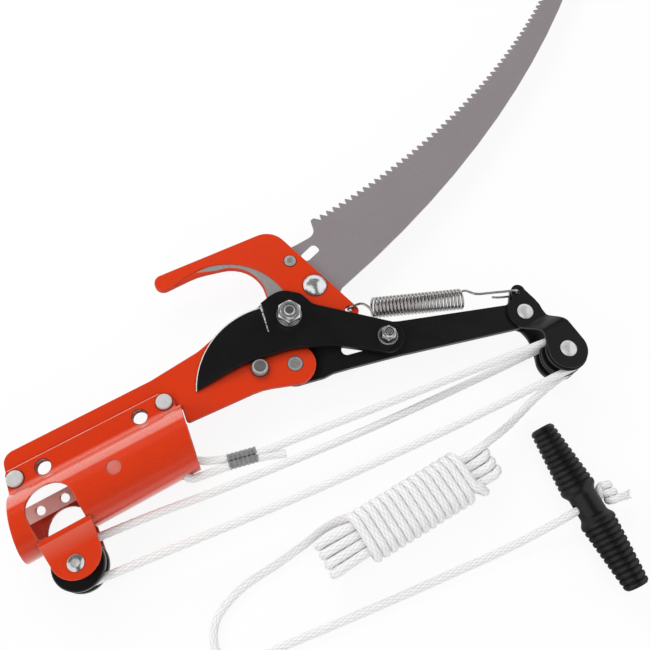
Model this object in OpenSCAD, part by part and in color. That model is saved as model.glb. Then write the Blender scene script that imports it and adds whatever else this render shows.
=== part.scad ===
/* [Pole socket] */
// Diameter of the pole that the socket takes (mm)
pole_d = 32; // [28:0.5:34]
// Radial room between pole and socket (mm)
pole_room = 0.1; // [0.02:0.02:0.2]
// Sheet thickness of the socket (mm)
socket_wall = 2.5; // [1.6:0.1:3]
// Length of the socket along the pole (mm)
socket_len = 101; // [99:1:103]
// Skew of the socket's two ends (degrees)
socket_skew = 10; // [6:0.5:12]
// Height of the flange's top edge above the pole's axis (mm)
flange_top = 31; // [30:0.5:34]
// Diameter of the two bolt holes in the flange (mm)
flange_hole_d = 8.5; // [5:0.1:9.5]
// Distance between the two bolt holes in the flange (mm)
flange_hole_gap = 57; // [54:0.5:59]
// Depth of the pole's seat from the socket's mouth (mm)
seat_len = 84; // [80:1:85]
// Radial step behind the pole's seat (mm)
seat_step = 0.4; // [0.2:0.1:0.8]
// Diameter of the flat dent in the front wall (mm)
dent_d = 7.9; // [6:0.1:9]
// Depth of the flat dent (mm)
dent_depth = 1; // [0.6:0.1:1.4]
// Diameter of the two screw holes in the back wall (mm)
screw_hole_d = 5; // [3:0.1:6]
// Radius of the front tab's round end (mm)
tab_r = 13.2; // [12.8:0.1:14]
// Radius of the back tab's round end (mm)
back_tab_r = 11.6; // [10.5:0.1:13]

/* [Body plate] */
// Thickness of the body plate (mm)
plate_t = 4; // [3:0.1:5]
// Running gap between plate, blade and lever (mm)
slide_gap = 0.2; // [0.1:0.02:0.3]
// Depth of the bare ground band on the hook (mm)
hook_relief = 0.5; // [0.2:0.1:1]
// Radius of the lobe around the lever's pivot (mm)
lobe_r = 12.4; // [11:0.1:13]

/* [Cutting blade] */
// Thickness of the cutting blade (mm)
blade_t = 4; // [3:0.1:5]
// Radius of the curved cutting edge (mm)
edge_r = 51.4; // [50:0.1:52]
// Width of the ground flank (mm)
flank_w = 20; // [10:0.5:22]
// Thickness left at the end of the ground flank (mm)
edge_t = 1.2; // [0.6:0.1:2]
// Diameter of the blade's pivot bolt (mm)
pivot_d = 8; // [6:0.5:9]
// Radial running room of the pivots (mm)
pivot_room = 0.05; // [0.02:0.01:0.1]
// Diameter of the stop pin (mm)
stop_d = 9.6; // [7:0.1:9.8]

/* [Lever and block] */
// Thickness of the lever (mm)
lever_t = 4; // [3:0.1:4.5]
// Diameter of the lever's pivot rivet (mm)
lever_rivet_d = 8.8; // [5:0.1:9.5]
// Diameter of the link bolt (mm)
link_d = 5; // [4.5:0.1:6]
// Room of the link bolt in the lever's slot (mm)
slot_room = 0.8; // [0.3:0.1:1]
// Sheet thickness of the cheeks (mm)
cheek_t = 2; // [1.5:0.1:2.5]
// Width of a block sheave (mm)
sheave_w = 10.2; // [9:0.1:11]
// Flange radius of the block sheaves (mm)
sheave_r = 12.8; // [12:0.1:14]
// Radius from a sheave's centre to the rope's middle (mm)
rope_turn_r = 10.3; // [9.6:0.1:11]
// Side room of the sheaves (mm)
side_room = 0.4; // [0.2:0.05:0.6]
// Diameter of the block's axle (mm)
axle_d = 6; // [4:0.1:7]
// Flange radius of the guide sheave (mm)
guide_r = 13.8; // [12.5:0.1:14]
// Width of the guide sheave's rim (mm)
guide_w = 15; // [10:0.5:18]
// Length of the guide sheave's hub (mm)
guide_hub = 19.6; // [18:0.2:22]
// Diameter of the guide sheave's tubular axle (mm)
guide_axle_d = 7; // [5:0.1:8]

/* [Saw] */
// Thickness of the saw blade (mm)
saw_t = 1.6; // [1:0.1:2.5]
// Number of saw teeth
tooth_count = 63; // [40:1:70]
// Depth of the saw teeth (mm)
tooth_depth = 4; // [2:0.1:4.4]
// Diameter of the saw bolt's domed head (mm)
saw_head_d = 14.5; // [12:0.1:16]

/* [Spring] */
// Wire thickness of the return spring (mm)
wire_d = 1.6; // [1.2:0.1:1.7]
// Outer diameter of the return spring (mm)
spring_d = 12.7; // [10:0.1:14]
// Number of coils
coil_count = 26; // [20:1:28]

/* [Rope and handle] */
// Rope thickness (mm)
rope_d = 4.6; // [4:0.1:4.8]
// Room between neighbouring strands of the hank (mm)
strand_gap = 0.6; // [0.45:0.05:0.8]
// Number of turns wrapped around the hank
wrap_count = 13; // [9:1:13]
// Length of the pull handle (mm)
handle_len = 100; // [90:1:120]
// Shoulder diameter of the pull handle (mm)
handle_d = 21; // [19:0.5:25]
// Diameter of the handle at its middle (mm)
handle_waist_d = 16.5; // [14:0.5:18]
// Diameter of the handle's ends (mm)
handle_end_d = 14.5; // [12:0.5:16]
// Number of ribs on each half of the handle
rib_count = 11; // [6:1:12]
// Diameter of the rope hole through the handle (mm)
handle_hole_d = 6; // [5.4:0.1:7]

/* [Hidden] */
$fn = 48;

// Places in the tool's plane, measured from the socket's mouth on the pole's axis
blade_pivot = [185, 36.5];
lever_pivot = [174, 9.5];
link_place = [230, -3.5];
stop_place = [154.42, 16.76];
cheek_place = [314.5, -30.5];
block_place = [318.5, -64.5];
guide_place = [20.5, -33];
eyelet = [220, 24.3];
ear = [319, -17];
saw_bolt_place = [210, 48.2];
saw_rivet_place = [204.8, 70];
flange_row = [53, 23.7];
flange_rivet_places = [[9, 24.75], [socket_len - 4, 24.75]];
dent_place = [58, 1];
screw_row = [18.4, 7.8];
crimp_place = [socket_len + 19.7, -24.5];
edge_centre = [162.2, 0.7];

// Levels across the tool, with the plate's middle at zero
socket_r = pole_d / 2 + pole_room;
outer_r = socket_r + socket_wall;
table_z = -outer_r;
plate_z = plate_t / 2;
blade_z = plate_z + slide_gap;
blade_top = blade_z + blade_t;
arm_top = plate_z;
arm_low = arm_top - lever_t;
hub_top = -plate_z - slide_gap;
hub_low = hub_top - lever_t;
cheek_in = sheave_w + 1.5 * side_room;
sheave_mid = (sheave_w + side_room) / 2;
tab_in = guide_hub / 2 + side_room;
saw_low = -plate_z - saw_t;
fold_y = -sqrt(pow(outer_r, 2) - pow(tab_in + 2.05, 2));
skew = tan(socket_skew);
link_turn = atan2(link_place[1] - lever_pivot[1], link_place[0] - lever_pivot[0]);
link_reach = norm(link_place - lever_pivot);

// Vector helpers for outlines and for tubes along a path
function unit(v) = v / norm(v);
function lift(p, z) = [p[0], p[1], z];
function turned(v, a) = [v[0] * cos(a) - v[1] * sin(a), v[0] * sin(a) + v[1] * cos(a)];
function corner(p, q, s) =
  let (a = unit([p[0] - q[0], p[1] - q[1]]),
    b = unit([s[0] - q[0], s[1] - q[1]]),
    half = acos(max(-1, min(1, a * b))) / 2,
    reach = q[2] / tan(half),
    m = [q[0], q[1]] + unit(a + b) * q[2] / sin(half),
    from = [q[0], q[1]] + a * reach - m,
    side = a[0] * b[1] - a[1] * b[0] > 0 ? -1 : 1,
    sweep = side * (180 - 2 * half),
    n = max(2, ceil(abs(sweep) / 11)))
  [for (i = [0 : n]) m + turned(from, sweep * i / n)];
function rounded(pts) =
  [for (i = [0 : len(pts) - 1]) each pts[i][2] == 0 ? [[pts[i][0], pts[i][1]]]
    : corner(pts[(i + len(pts) - 1) % len(pts)], pts[i], pts[(i + 1) % len(pts)])];
function heading(p) =
  [for (i = [0 : len(p) - 1]) unit(p[min(i + 1, len(p) - 1)] - p[max(i - 1, 0)])];
function square_to(t) = unit(cross(t, abs(t[2]) < 0.8 ? [0, 0, 1] : [0, 1, 0]));
function carried(t) =
  [for (i = 0, n = square_to(t[0]); i < len(t);
    i = i + 1, n = i < len(t) ? unit(n - (n * t[i]) * t[i]) : n) n];
function smooth(x) = let (c = max(0, min(1, x))) c * c * (3 - 2 * c);
function mix(a, b, x) = a + (b - a) * x;
function bend(p, steps) =
  [for (i = [0 : len(p) - 2]) each [for (k = [0 : steps - 1]) let (t = k / steps,
    a = p[max(i - 1, 0)], b = p[i], c = p[i + 1], d = p[min(i + 2, len(p) - 1)])
    b + (c - a) * t / 2 + (2 * a - 5 * b + 4 * c - d) * t * t / 2 + (3 * b - 3 * c + d - a) * t * t * t / 2],
    p[len(p) - 1]];
function least_gap(p, d, skip) =
  min([for (i = [0 : len(p) - 1 - skip]) each [for (j = [i + skip : len(p) - 1]) norm(p[i] - p[j])]]) - d;

// A round cord or wire swept along a path of points
module tube(path, d, sides) {
  t = heading(path);
  n = carried(t);
  last = len(path) - 1;
  pts = [for (i = [0 : last]) each [for (k = [0 : sides - 1])
    path[i] + d / 2 * (cos(360 * k / sides) * n[i] + sin(360 * k / sides) * cross(t[i], n[i]))]];
  skin = [for (i = [0 : last - 1]) each [for (k = [0 : sides - 1]) let (a = i * sides + k,
    b = i * sides + (k + 1) % sides) each [[a, b + sides, b], [a, a + sides, b + sides]]]];
  near = [for (k = [1 : sides - 2]) [0, k, k + 1]];
  far = [for (k = [1 : sides - 2]) [last * sides, last * sides + k + 1, last * sides + k]];
  polyhedron(points = pts, faces = concat(skin, near, far), convexity = 10);
}

// A straight stretch of cord between two places
module rod(from, to, d) {
  v = to - from;
  translate(from)
    rotate([0, acos(v[2] / norm(v)), atan2(v[1], v[0])])
      cylinder(d = d, h = norm(v), $fn = 24);
}

module at(p, z = 0) {
  translate([p[0], p[1], z]) children();
}

module slab(low, high) {
  translate([0, 0, low]) linear_extrude(high - low) children();
}

module bolt_hole(p, d) {
  at(p, -60) cylinder(d = d, h = 120);
}

// Low domed rivet head that sits on z = 0
module dome(d, h) {
  r = (d * d / 4 + pow(h - 0.3, 2)) / (h - 0.3) / 2;
  a = asin(d / 2 / r);
  rotate_extrude() polygon(concat([[0, 0], [d / 2, 0]],
    [for (i = [0 : 5]) [r * sin(a * (1 - i / 6)), h - r + r * cos(a * (1 - i / 6))]], [[0, h]]));
}

// Flat pressed rivet head that sits on z = 0
module flat_head(d, h) {
  rotate_extrude() polygon([[0, 0], [d / 2, 0], [d / 2, h - 0.6], [d / 2 - 0.6, h], [0, h]]);
}

// Hexagon with its top corners turned off
module hexagon(across, h) {
  tip = across / cos(30) / 2;
  flat = across * 0.475;
  intersection() {
    cylinder(r = tip, h = h, $fn = 6);
    rotate_extrude() polygon([[0, 0], [tip + 1, 0], [tip + 1, h - (tip + 1 - flat) * 0.58], [flat, h], [0, h]]);
  }
}

// Lock nut: hexagon with a round collar
module lock_nut(across, hex_h, collar_h, hole) {
  difference() {
    union() {
      hexagon(across, hex_h);
      translate([0, 0, hex_h]) cylinder(d1 = across * 0.88, d2 = across * 0.76, h = collar_h);
    }
    translate([0, 0, -1]) cylinder(d = hole, h = hex_h + collar_h + 2);
  }
}

// Bolt head behind, hexagon with its outer corners turned off
module bolt_head(across, h) {
  mirror([0, 0, 1]) hexagon(across, h);
}

// Hooked body plate: bar along the socket, lobe for the lever's pivot and the hook
plate_points = [[3.2, 18.6, 2], [socket_len + 18.6 * skew + 0.4, 18.6, 1.5],
  [socket_len + 8.4 * skew + 0.4, 8.4, 2], [150, 5.2, 40], [169.8, -2.2, 0],
  [183.5, 17.5, 0], [200, 22.5, 12], [227, 17.2, 4], [205.6, 95, 14], [125, 99.4, 5.3], [124, 88.4, 5.3],
  [150, 88.6, 40], [185.8, 79.4, 21.5], [179.2, 50.6, 3], [150, 50, 16], [128, 43.8, 25], [96, 40.9, 30],
  [7.2, 41, 7]];

module body_plate() {
  color([0.84, 0.2, 0.06]) difference() {
    slab(-plate_z, plate_z) union() {
      polygon(rounded(plate_points));
      at(lever_pivot) circle(lobe_r);
    }
    intersection() {
      at([150, 50], plate_z - hook_relief) cylinder(r = 41.5, h = 5, $fn = 96);
      translate([100, 52, 0]) cube([120, 60, 20]);
    }
    bolt_hole(blade_pivot, pivot_d);
    bolt_hole(lever_pivot, lever_rivet_d);
    bolt_hole(stop_place, stop_d * 0.6);
    bolt_hole(saw_bolt_place, 6);
    bolt_hole(saw_rivet_place, 4);
    bolt_hole(eyelet, 4.4);
    for (p = flange_rivet_places) bolt_hole(p, 5);
    for (s = [-0.5, 0.5]) bolt_hole(flange_row + [s * flange_hole_gap, 0], flange_hole_d);
  }
}

// Rolled socket: split ring with a flange, two windows whose tabs fold out to hold the guide sheave
module socket_profile() {
  front = plate_z + socket_wall;
  fillet = 2.8;
  fy = sqrt(pow(outer_r + fillet, 2) - pow(front + fillet, 2));
  touch = [fy, front + fillet] * outer_r / (outer_r + fillet);
  difference() {
    union() {
      circle(outer_r, $fn = 96);
      translate([8, plate_z]) square([flange_top - 8, socket_wall]);
      difference() {
        polygon([touch, [fy, front], [fy - 4, front - 1], [12, 8]]);
        translate([fy, front + fillet]) circle(fillet);
      }
    }
    circle(socket_r, $fn = 96);
    translate([12, plate_z - 60]) square([60, 60]);
  }
}

module window(top, low) {
  translate([21.5, top - 12.8]) circle(12.8);
  translate([8.7, low]) square([25.6, top - 12.8 - low]);
}

module tab(r) {
  intersection() {
    union() {
      translate([22, -41.7 + r]) circle(r);
      polygon([[20.4 - r, fold_y], [22 - r, -41.7 + r], [22 + r, -41.7 + r], [23.6 + r, fold_y]]);
    }
    translate([-20, -60]) square([80, 60 + fold_y]);
  }
}

module pole_socket() {
  flange_end = socket_len - 2.6;
  notch = socket_len - 11.5;
  blank = [[-40 * skew, -40, 0], [socket_len - 40 * skew, -40, 0], [socket_len + 19.2 * skew, 19.2, 0],
    [flange_end + 19.2 * skew, 19.2, 0], [flange_end + flange_top * skew, flange_top, 8],
    [flange_top * skew, flange_top, 3]];
  color([0.86, 0.21, 0.06]) difference() {
    union() {
      difference() {
        intersection() {
          translate([-30, 0, 0]) rotate([90, 0, 90]) linear_extrude(180) socket_profile();
          slab(-40, 40) polygon(rounded(blank));
        }
        slab(4, 40) window(11.3, fold_y);
        slab(-40, -4) window(3, fold_y);
      }
      slab(tab_in, tab_in + socket_wall) tab(tab_r);
      slab(-tab_in - socket_wall, -tab_in) tab(back_tab_r);
    }
    translate([-30, 0, 0]) rotate([0, 90, 0]) cylinder(r = socket_r, h = 180, $fn = 96);
    translate([seat_len, 0, 0]) rotate([0, 90, 0]) cylinder(r = socket_r + seat_step, h = 90, $fn = 96);
    at(dent_place, outer_r - dent_depth) cylinder(d = dent_d, h = 40);
    bolt_hole(guide_place, guide_axle_d);
    for (p = flange_rivet_places) bolt_hole(p, 5);
    for (s = [-0.5, 0.5]) bolt_hole(flange_row + [s * flange_hole_gap, 0], flange_hole_d);
    for (s = [-7.1, 7.1]) at(screw_row + [s, 0], -40) cylinder(d = screw_hole_d, h = 40);
    translate([notch, -10, 0]) rotate([90, 0, 0]) cylinder(d = 6.4, h = 20);
    translate([notch, -30, -6]) cube([30, 20, 6]);
    translate([notch, -30, -3.2]) cube([3.2, 20, 6]);
  }
}

module socket_rivets() {
  color([0.72, 0.73, 0.74]) for (p = flange_rivet_places) {
    at(p, plate_z + socket_wall) flat_head(9.2, 1.5);
    at(p, -plate_z) cylinder(d = 5, h = plate_t + socket_wall);
    at(p, -plate_z) mirror([0, 0, 1]) dome(8.5, 1.6);
  }
}

// Curved pruning saw: two long arcs, a row of teeth and a heel behind the body plate
saw_root = [233, 91.4];
saw_start = 5;
saw_r = 560;
saw_span = 33.2;
back_root = [225.4, 40.2];
back_start = 14;
back_r = saw_r * 10 / 7;
back_span = 25.3;
function on_arc(p, a, r, t) = p + r * [sin(a + t) - sin(a), cos(a) - cos(a + t)];
function off_arc(p, a, r, t, d) = on_arc(p, a, r, t) + d * [sin(a + t), -cos(a + t)];
saw_tip = on_arc(saw_root, saw_start, saw_r, saw_span);
back_tip = on_arc(back_root, back_start, back_r, back_span);

module saw_blade() {
  step = saw_span / tooth_count;
  teeth = [for (i = [0 : tooth_count - 1]) each
    [on_arc(saw_root, saw_start, saw_r, (i + 0.28) * step),
      off_arc(saw_root, saw_start, saw_r, (i + 1) * step, tooth_depth)]];
  back = [for (i = [0 : 12]) on_arc(back_root, back_start, back_r, back_span * (12 - i) / 12)];
  tip = rounded([[saw_tip[0] - 2, saw_tip[1] - 4, 0], [saw_tip[0] + 7, saw_tip[1] + 3, 5],
    [back_tip[0] + 3, back_tip[1] + 1, 5], [back_tip[0] - 3, back_tip[1] - 2, 0]]);
  heel = rounded([[222, 37.5, 0], [203, 38, 7], [195, 62, 6], [198, 79.5, 6], [216, 79.8, 5],
    [229.6, 80.6, 7], [232.2, 91, 0]]);
  color([0.5, 0.48, 0.48]) difference() {
    slab(saw_low, -plate_z) polygon(concat(teeth, [for (i = [1 : len(tip) - 2]) tip[i]], back, heel));
    bolt_hole(saw_bolt_place, 6);
    bolt_hole(saw_rivet_place, 4);
    slab(-20, 20) polygon(rounded([[213, 72, 2.6], [214.8, 65.9, 2.6], [227.2, 69.6, 2.6], [225.4, 75.9, 2.6]]));
  }
}

module saw_bolt() {
  color([0.72, 0.72, 0.74]) {
    at(saw_bolt_place, plate_z) dome(saw_head_d, 4);
    at(saw_bolt_place, saw_low - 7) cylinder(d = 6, h = 7 + saw_t + plate_t);
  }
}

module saw_nut() {
  color([0.68, 0.68, 0.7]) at(saw_bolt_place, saw_low) difference() {
    bolt_head(10, 5);
    translate([0, 0, -7]) cylinder(d = 6, h = 8);
  }
}

module saw_rivet() {
  color([0.72, 0.73, 0.74]) {
    at(saw_rivet_place, plate_z) dome(7.4, 1.4);
    at(saw_rivet_place, saw_low) cylinder(d = 4, h = saw_t + plate_t);
    at(saw_rivet_place, saw_low) mirror([0, 0, 1]) dome(6.6, 1.3);
  }
}

// Pivot of the cutting blade: bolt from behind, washer and lock nut in front
washer_z = blade_top + slide_gap;
module pivot_bolt() {
  color([0.74, 0.74, 0.76]) {
    at(blade_pivot, -plate_z) bolt_head(13, 5.3);
    at(blade_pivot, -plate_z) cylinder(d = pivot_d, h = washer_z + plate_z + 7.4);
    at(blade_pivot, washer_z + 7.4) cylinder(d1 = pivot_d, d2 = pivot_d - 2.4, h = 1.1);
  }
}

module pivot_washer() {
  color([0.7, 0.7, 0.72]) at(blade_pivot, washer_z) difference() {
    cylinder(d = 15, h = 1.6);
    translate([0, 0, -1]) cylinder(d = pivot_d, h = 4);
  }
}

module pivot_nut() {
  color([0.76, 0.76, 0.78]) at(blade_pivot, washer_z + 1.6) lock_nut(13, 5.2, 1.6, pivot_d);
}

// Bypass blade: round cutting edge with a ground flank, hub on the pivot and a tail to the link
blade_points = [[115.6, 22, 0], [146, 23.4, 60], [178, 17.6, 40], [200, 6.6, 30], [222.6, -10.5, 0],
  [237.3, 3.6, 0], [201.5, 36.5, 9], [198.5, 46, 6], [189.5, 54, 12], [179.5, 53.4, 6]];

module cutting_blade() {
  arc = [for (i = [0 : 16]) edge_centre + edge_r * [cos(80 + 75 * i / 16), sin(80 + 75 * i / 16)]];
  color([0.1, 0.1, 0.1]) difference() {
    slab(blade_z, blade_top) union() {
      polygon(concat(rounded(blade_points), arc));
      at(link_place) circle(10.2);
    }
    at(edge_centre, blade_top) rotate([0, 0, 77]) rotate_extrude(angle = 86, $fn = 96)
      polygon([[edge_r - flank_w, 0], [edge_r - 1.6, edge_t - blade_t], [edge_r + 0.2, 0.1 - blade_t],
        [edge_r + 4, 0.1 - blade_t], [edge_r + 4, 1], [edge_r - flank_w, 1]]);
    bolt_hole(blade_pivot, pivot_d + 2 * pivot_room);
    bolt_hole(link_place, link_d);
  }
}

module stop_pin() {
  color([0.72, 0.73, 0.74]) {
    at(stop_place, plate_z) cylinder(d = stop_d, h = 3.4);
    at(stop_place, plate_z + 3.4) cylinder(d1 = stop_d, d2 = stop_d - 2.4, h = 1.2);
    at(stop_place, -plate_z) cylinder(d = stop_d * 0.6, h = plate_t);
    at(stop_place, -plate_z) mirror([0, 0, 1]) dome(8.5, 1.6);
  }
}

// Lever pivot rivet, flush with the plate in front so that the blade's tail can pass over it
module lever_rivet() {
  color([0.72, 0.73, 0.74]) {
    at(lever_pivot, hub_low - slide_gap) cylinder(d = lever_rivet_d, h = plate_z - hub_low + slide_gap);
    at(lever_pivot, hub_low - slide_gap) mirror([0, 0, 1]) dome(13, 2.6);
  }
}

// Joggled lever: hub behind the plate, arm level with it, slot for the link bolt and ear for the spring
lever_points = [[171.6, -2, 0], [202, -8.8, 20], [233, -16.6, 30], [312.2, -39.2, 0], [322.5, -29, 0],
  [323, -17, 0], [315.6, -14.2, 2], [309.2, -21.2, 4], [242, 3, 25], [221.5, 13.4, 12], [204, 16.8, 8],
  [177, 21, 0]];

module joggle(low, high, from, run, drop) {
  rotate([90, 0, 0]) translate([0, 0, -60]) linear_extrude(120)
    polygon([[-60, low - drop], [from, low - drop], [from + run, low], [300, low], [300, high],
      [from + run - 0.4, high], [from - 0.4, high - drop], [-60, high - drop]]);
}

// The link bolt's way in the lever while both close, which the slot follows on its far edge
close_lever = 75.3;
close_blade = 58;
function about(p, c, a) = c + turned(p - c, a);
function bolt_way(k) =
  turned(about(about(link_place, blade_pivot, -close_blade * k), lever_pivot, close_lever * k) - lever_pivot,
    -link_turn);
function way_side(k) = let (v = unit(bolt_way(k + 0.01) - bolt_way(k - 0.01))) [v[1], -v[0]];
slot_half = link_d / 2 + slot_room;

module lever_slot() {
  far = bolt_way(0) + [0.2, 0];
  near = bolt_way(1) - [0.2, 0];
  turn = atan2(way_side(1)[1], way_side(1)[0]);
  start = atan2(way_side(0)[1], way_side(0)[0]);
  polygon(concat([for (i = [0 : 12]) far + slot_half * [cos(mix(-90, start, i / 12)), sin(mix(-90, start, i / 12))]],
    [for (i = [1 : 13]) bolt_way(i / 14) + slot_half * way_side(i / 14)],
    [for (i = [0 : 12]) near + slot_half * [cos(mix(turn, 270, i / 12)), sin(mix(turn, 270, i / 12))]]));
}

module lever_arm() {
  color([0.1, 0.1, 0.1]) difference() {
    intersection() {
      slab(-30, 30) union() {
        polygon(rounded(lever_points));
        at(lever_pivot) circle(11.8);
        at(cheek_place) circle(9);
        at(ear) circle(4.4);
      }
      at(lever_pivot) rotate([0, 0, link_turn]) joggle(arm_low, arm_top, 15, 5.4, arm_top - hub_top);
    }
    bolt_hole(lever_pivot, lever_rivet_d + 2 * pivot_room);
    at(lever_pivot) rotate([0, 0, link_turn]) slab(-20, 20) lever_slot();
    bolt_hole(cheek_place, 6);
    bolt_hole(ear, 3.6);
  }
}

// Link between blade tail and lever: bolt from behind, plain washer, spring washer and nut in front
module link_bolt() {
  color([0.74, 0.74, 0.76]) {
    at(link_place, arm_low - slide_gap - 1.2) bolt_head(8, 3.5);
    at(link_place, arm_low - slide_gap - 1.2) cylinder(d = link_d, h = blade_top - arm_low + slide_gap + 8);
    at(link_place, blade_top + 6.8) cylinder(d1 = link_d, d2 = link_d - 1.4, h = 0.9);
  }
}

module link_back_washer() {
  color([0.7, 0.7, 0.72]) at(link_place, arm_low - slide_gap - 1.2) difference() {
    cylinder(d = 15, h = 1.2);
    translate([0, 0, -1]) cylinder(d = link_d, h = 4);
  }
}

module link_washer() {
  color([0.78, 0.78, 0.8]) at(link_place, blade_top) difference() {
    cylinder(d = 12, h = 1.2);
    translate([0, 0, -1]) cylinder(d = link_d, h = 4);
  }
}

module link_spring_washer() {
  color([0.12, 0.12, 0.12]) at(link_place, blade_top + 1.2) difference() {
    cylinder(d = 9.2, h = 1.6);
    translate([0, 0, -1]) cylinder(d = link_d, h = 4);
    rotate([0, 0, -50]) translate([1, -0.4, -1]) cube([10, 0.8, 4]);
  }
}

module link_nut() {
  color([0.78, 0.78, 0.8]) at(link_place, blade_top + 2.8) lock_nut(8, 3.4, 1.5, link_d);
}

// Block cheeks: joggled plates from the lever out over the two sheaves
module cheek_outline() {
  at(cheek_place) circle(11);
  at(ear) circle(4.4);
  at(block_place) circle(12);
  polygon(rounded([[304.6, -35.2, 0], [313.2, -46.4, 8], [307, -61, 0], [330.4, -62.5, 0], [329.6, -49, 9],
    [325, -39.5, 14], [325.2, -27, 0], [323.2, -17.6, 0], [315, -15.2, 0]]));
}

module cheek_band(low, out) {
  rise = (out - low) / 11;
  inner = [for (i = [0 : 8]) [-38 - 11 * i / 8, mix(low, out, smooth(i / 8))]];
  outer = [for (i = [8 : -1 : 0]) inner[i] + cheek_t * unit([rise * 6 * i / 8 * (1 - i / 8), 1])];
  rotate([90, 0, 90]) linear_extrude(400)
    polygon(concat([[0, low]], inner, [[-120, out], [-120, out + cheek_t]], outer, [[0, low + cheek_t]]));
}

module front_cheek() {
  color([0.1, 0.1, 0.1]) difference() {
    intersection() {
      slab(-30, 30) cheek_outline();
      cheek_band(arm_top, cheek_in);
    }
    bolt_hole(cheek_place, 6);
    bolt_hole(block_place, axle_d);
    bolt_hole(ear, 3.6);
  }
}

module back_cheek() {
  color([0.1, 0.1, 0.1]) difference() {
    intersection() {
      slab(-30, 30) difference() {
        cheek_outline();
        at(ear) circle(8);
      }
      mirror([0, 0, 1]) cheek_band(-arm_low, cheek_in);
    }
    bolt_hole(cheek_place, 6);
    bolt_hole(block_place, axle_d);
  }
}

module cheek_rivet() {
  color([0.72, 0.73, 0.74]) {
    at(cheek_place, arm_top + cheek_t) dome(10, 2);
    at(cheek_place, arm_low - cheek_t) cylinder(d = 6, h = lever_t + 2 * cheek_t);
    at(cheek_place, arm_low - cheek_t) mirror([0, 0, 1]) dome(10, 2);
  }
}

module sheave_axle() {
  color([0.72, 0.73, 0.74]) {
    at(block_place, cheek_in + cheek_t) dome(10, 2);
    at(block_place, -cheek_in - cheek_t) cylinder(d = axle_d, h = 2 * (cheek_in + cheek_t));
    at(block_place, -cheek_in - cheek_t) mirror([0, 0, 1]) dome(10, 2);
  }
}

// A grooved sheave, with a hub as long as its room allows
module sheave(r, w, hub, bore) {
  groove = rope_turn_r - rope_d / 2 - 0.4;
  side = rope_d / 2 + 0.5;
  rotate_extrude($fn = 72) polygon([[bore / 2, -hub / 2], [bore / 2 + 3, -hub / 2], [bore / 2 + 3, -w / 2],
    [r - 0.6, -w / 2], [r, 0.6 - w / 2], [r, -side - 0.6], [r - 0.5, -side], [groove + 1.6, -side + 0.5],
    [groove + 0.4, -side + 1.4], [groove, 0], [groove + 0.4, side - 1.4], [groove + 1.6, side - 0.5],
    [r - 0.5, side], [r, side + 0.6], [r, w / 2 - 0.6], [r - 0.6, w / 2], [bore / 2 + 3, w / 2],
    [bore / 2 + 3, hub / 2], [bore / 2, hub / 2]]);
}

module front_sheave() {
  color([0.1, 0.1, 0.1]) at(block_place, sheave_mid)
    sheave(sheave_r, sheave_w - 0.4, sheave_w, axle_d + 2 * pivot_room);
}

module back_sheave() {
  color([0.1, 0.1, 0.1]) at(block_place, -sheave_mid)
    sheave(sheave_r, sheave_w - 0.4, sheave_w, axle_d + 2 * pivot_room);
}

module guide_sheave() {
  color([0.1, 0.1, 0.1]) at(guide_place) sheave(guide_r, guide_w, guide_hub, guide_axle_d + 2 * pivot_room);
}

// Tubular rivet that carries the guide sheave
module guide_axle() {
  out = tab_in + socket_wall;
  color([0.72, 0.73, 0.74]) at(guide_place) difference() {
    union() {
      translate([0, 0, -out]) cylinder(d = guide_axle_d, h = 2 * out);
      translate([0, 0, out]) dome(8.8, 1.4);
      mirror([0, 0, 1]) translate([0, 0, out]) dome(8.8, 1.4);
    }
    translate([0, 0, -out - 3]) cylinder(d = guide_axle_d - 2.6, h = 2 * out + 6);
  }
}

// Return spring between the plate's eyelet and the lever's ear
spring_dir = unit(ear - eyelet);
spring_len = norm(ear - eyelet);
coil_from = 14.6;
coil_pitch = wire_d + 0.65;
coil_to = coil_from + coil_count * coil_pitch;
coil_r = (spring_d - wire_d) / 2;
function along(s, side, z) = lift(eyelet + spring_dir * s + [-spring_dir[1], spring_dir[0]] * side, z);
hook_r = plate_z + wire_d / 2 + 0.8;
spring_path = concat(
  [for (a = [260 : -20 : 100]) along(hook_r + hook_r * cos(a), 0.1 * (260 - a) / 16, hook_r * sin(a))],
  [along(6.4, 1.9, hook_r + 0.2), along(9, 1.5, hook_r + 0.5), along(11.4, -0.4, hook_r + 0.6),
    along(13.2, -2.9, hook_r + 0.2)],
  [for (i = [0 : 8 * coil_count - 4]) let (a = 157.5 + 45 * i)
    along(coil_from + coil_pitch * i / 8, coil_r * cos(a), coil_r * sin(a))]);

module return_spring() {
  echo(spring_gap = least_gap(spring_path, wire_d, 6));
  color([0.66, 0.63, 0.62]) tube(spring_path, wire_d, 6);
}

module spring_hook() {
  coil_end = spring_path[len(spring_path) - 1];
  next = along(coil_to + 1.4, coil_r * 0.82, 1.6);
  start = coil_end + 0.8 * unit(next - coil_end);
  top = arm_top + cheek_t + wire_d / 2 + 0.4;
  low = arm_low - wire_d / 2 - 0.6;
  mid = (top + low) / 2;
  r = (top - low) / 2;
  way = concat([start, next, along(coil_to + 3.4, coil_r * 0.4, mix(2, top, 0.7)),
    along(coil_to + 5.4, 0.6, top)],
    [for (s = [coil_to + 9, spring_len - 5, spring_len - 2.54]) along(s, 0, top)],
    [for (a = [75 : -15 : -75]) along(spring_len - 2.54 + 3 * cos(a), 0, mid + r * sin(a))],
    [along(spring_len - 2.54, 0, low), along(spring_len - 10, 0, low), along(spring_len - 15, 0.5, low + 0.2)]);
  color([0.66, 0.63, 0.62]) tube(way, wire_d, 8);
}

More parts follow.
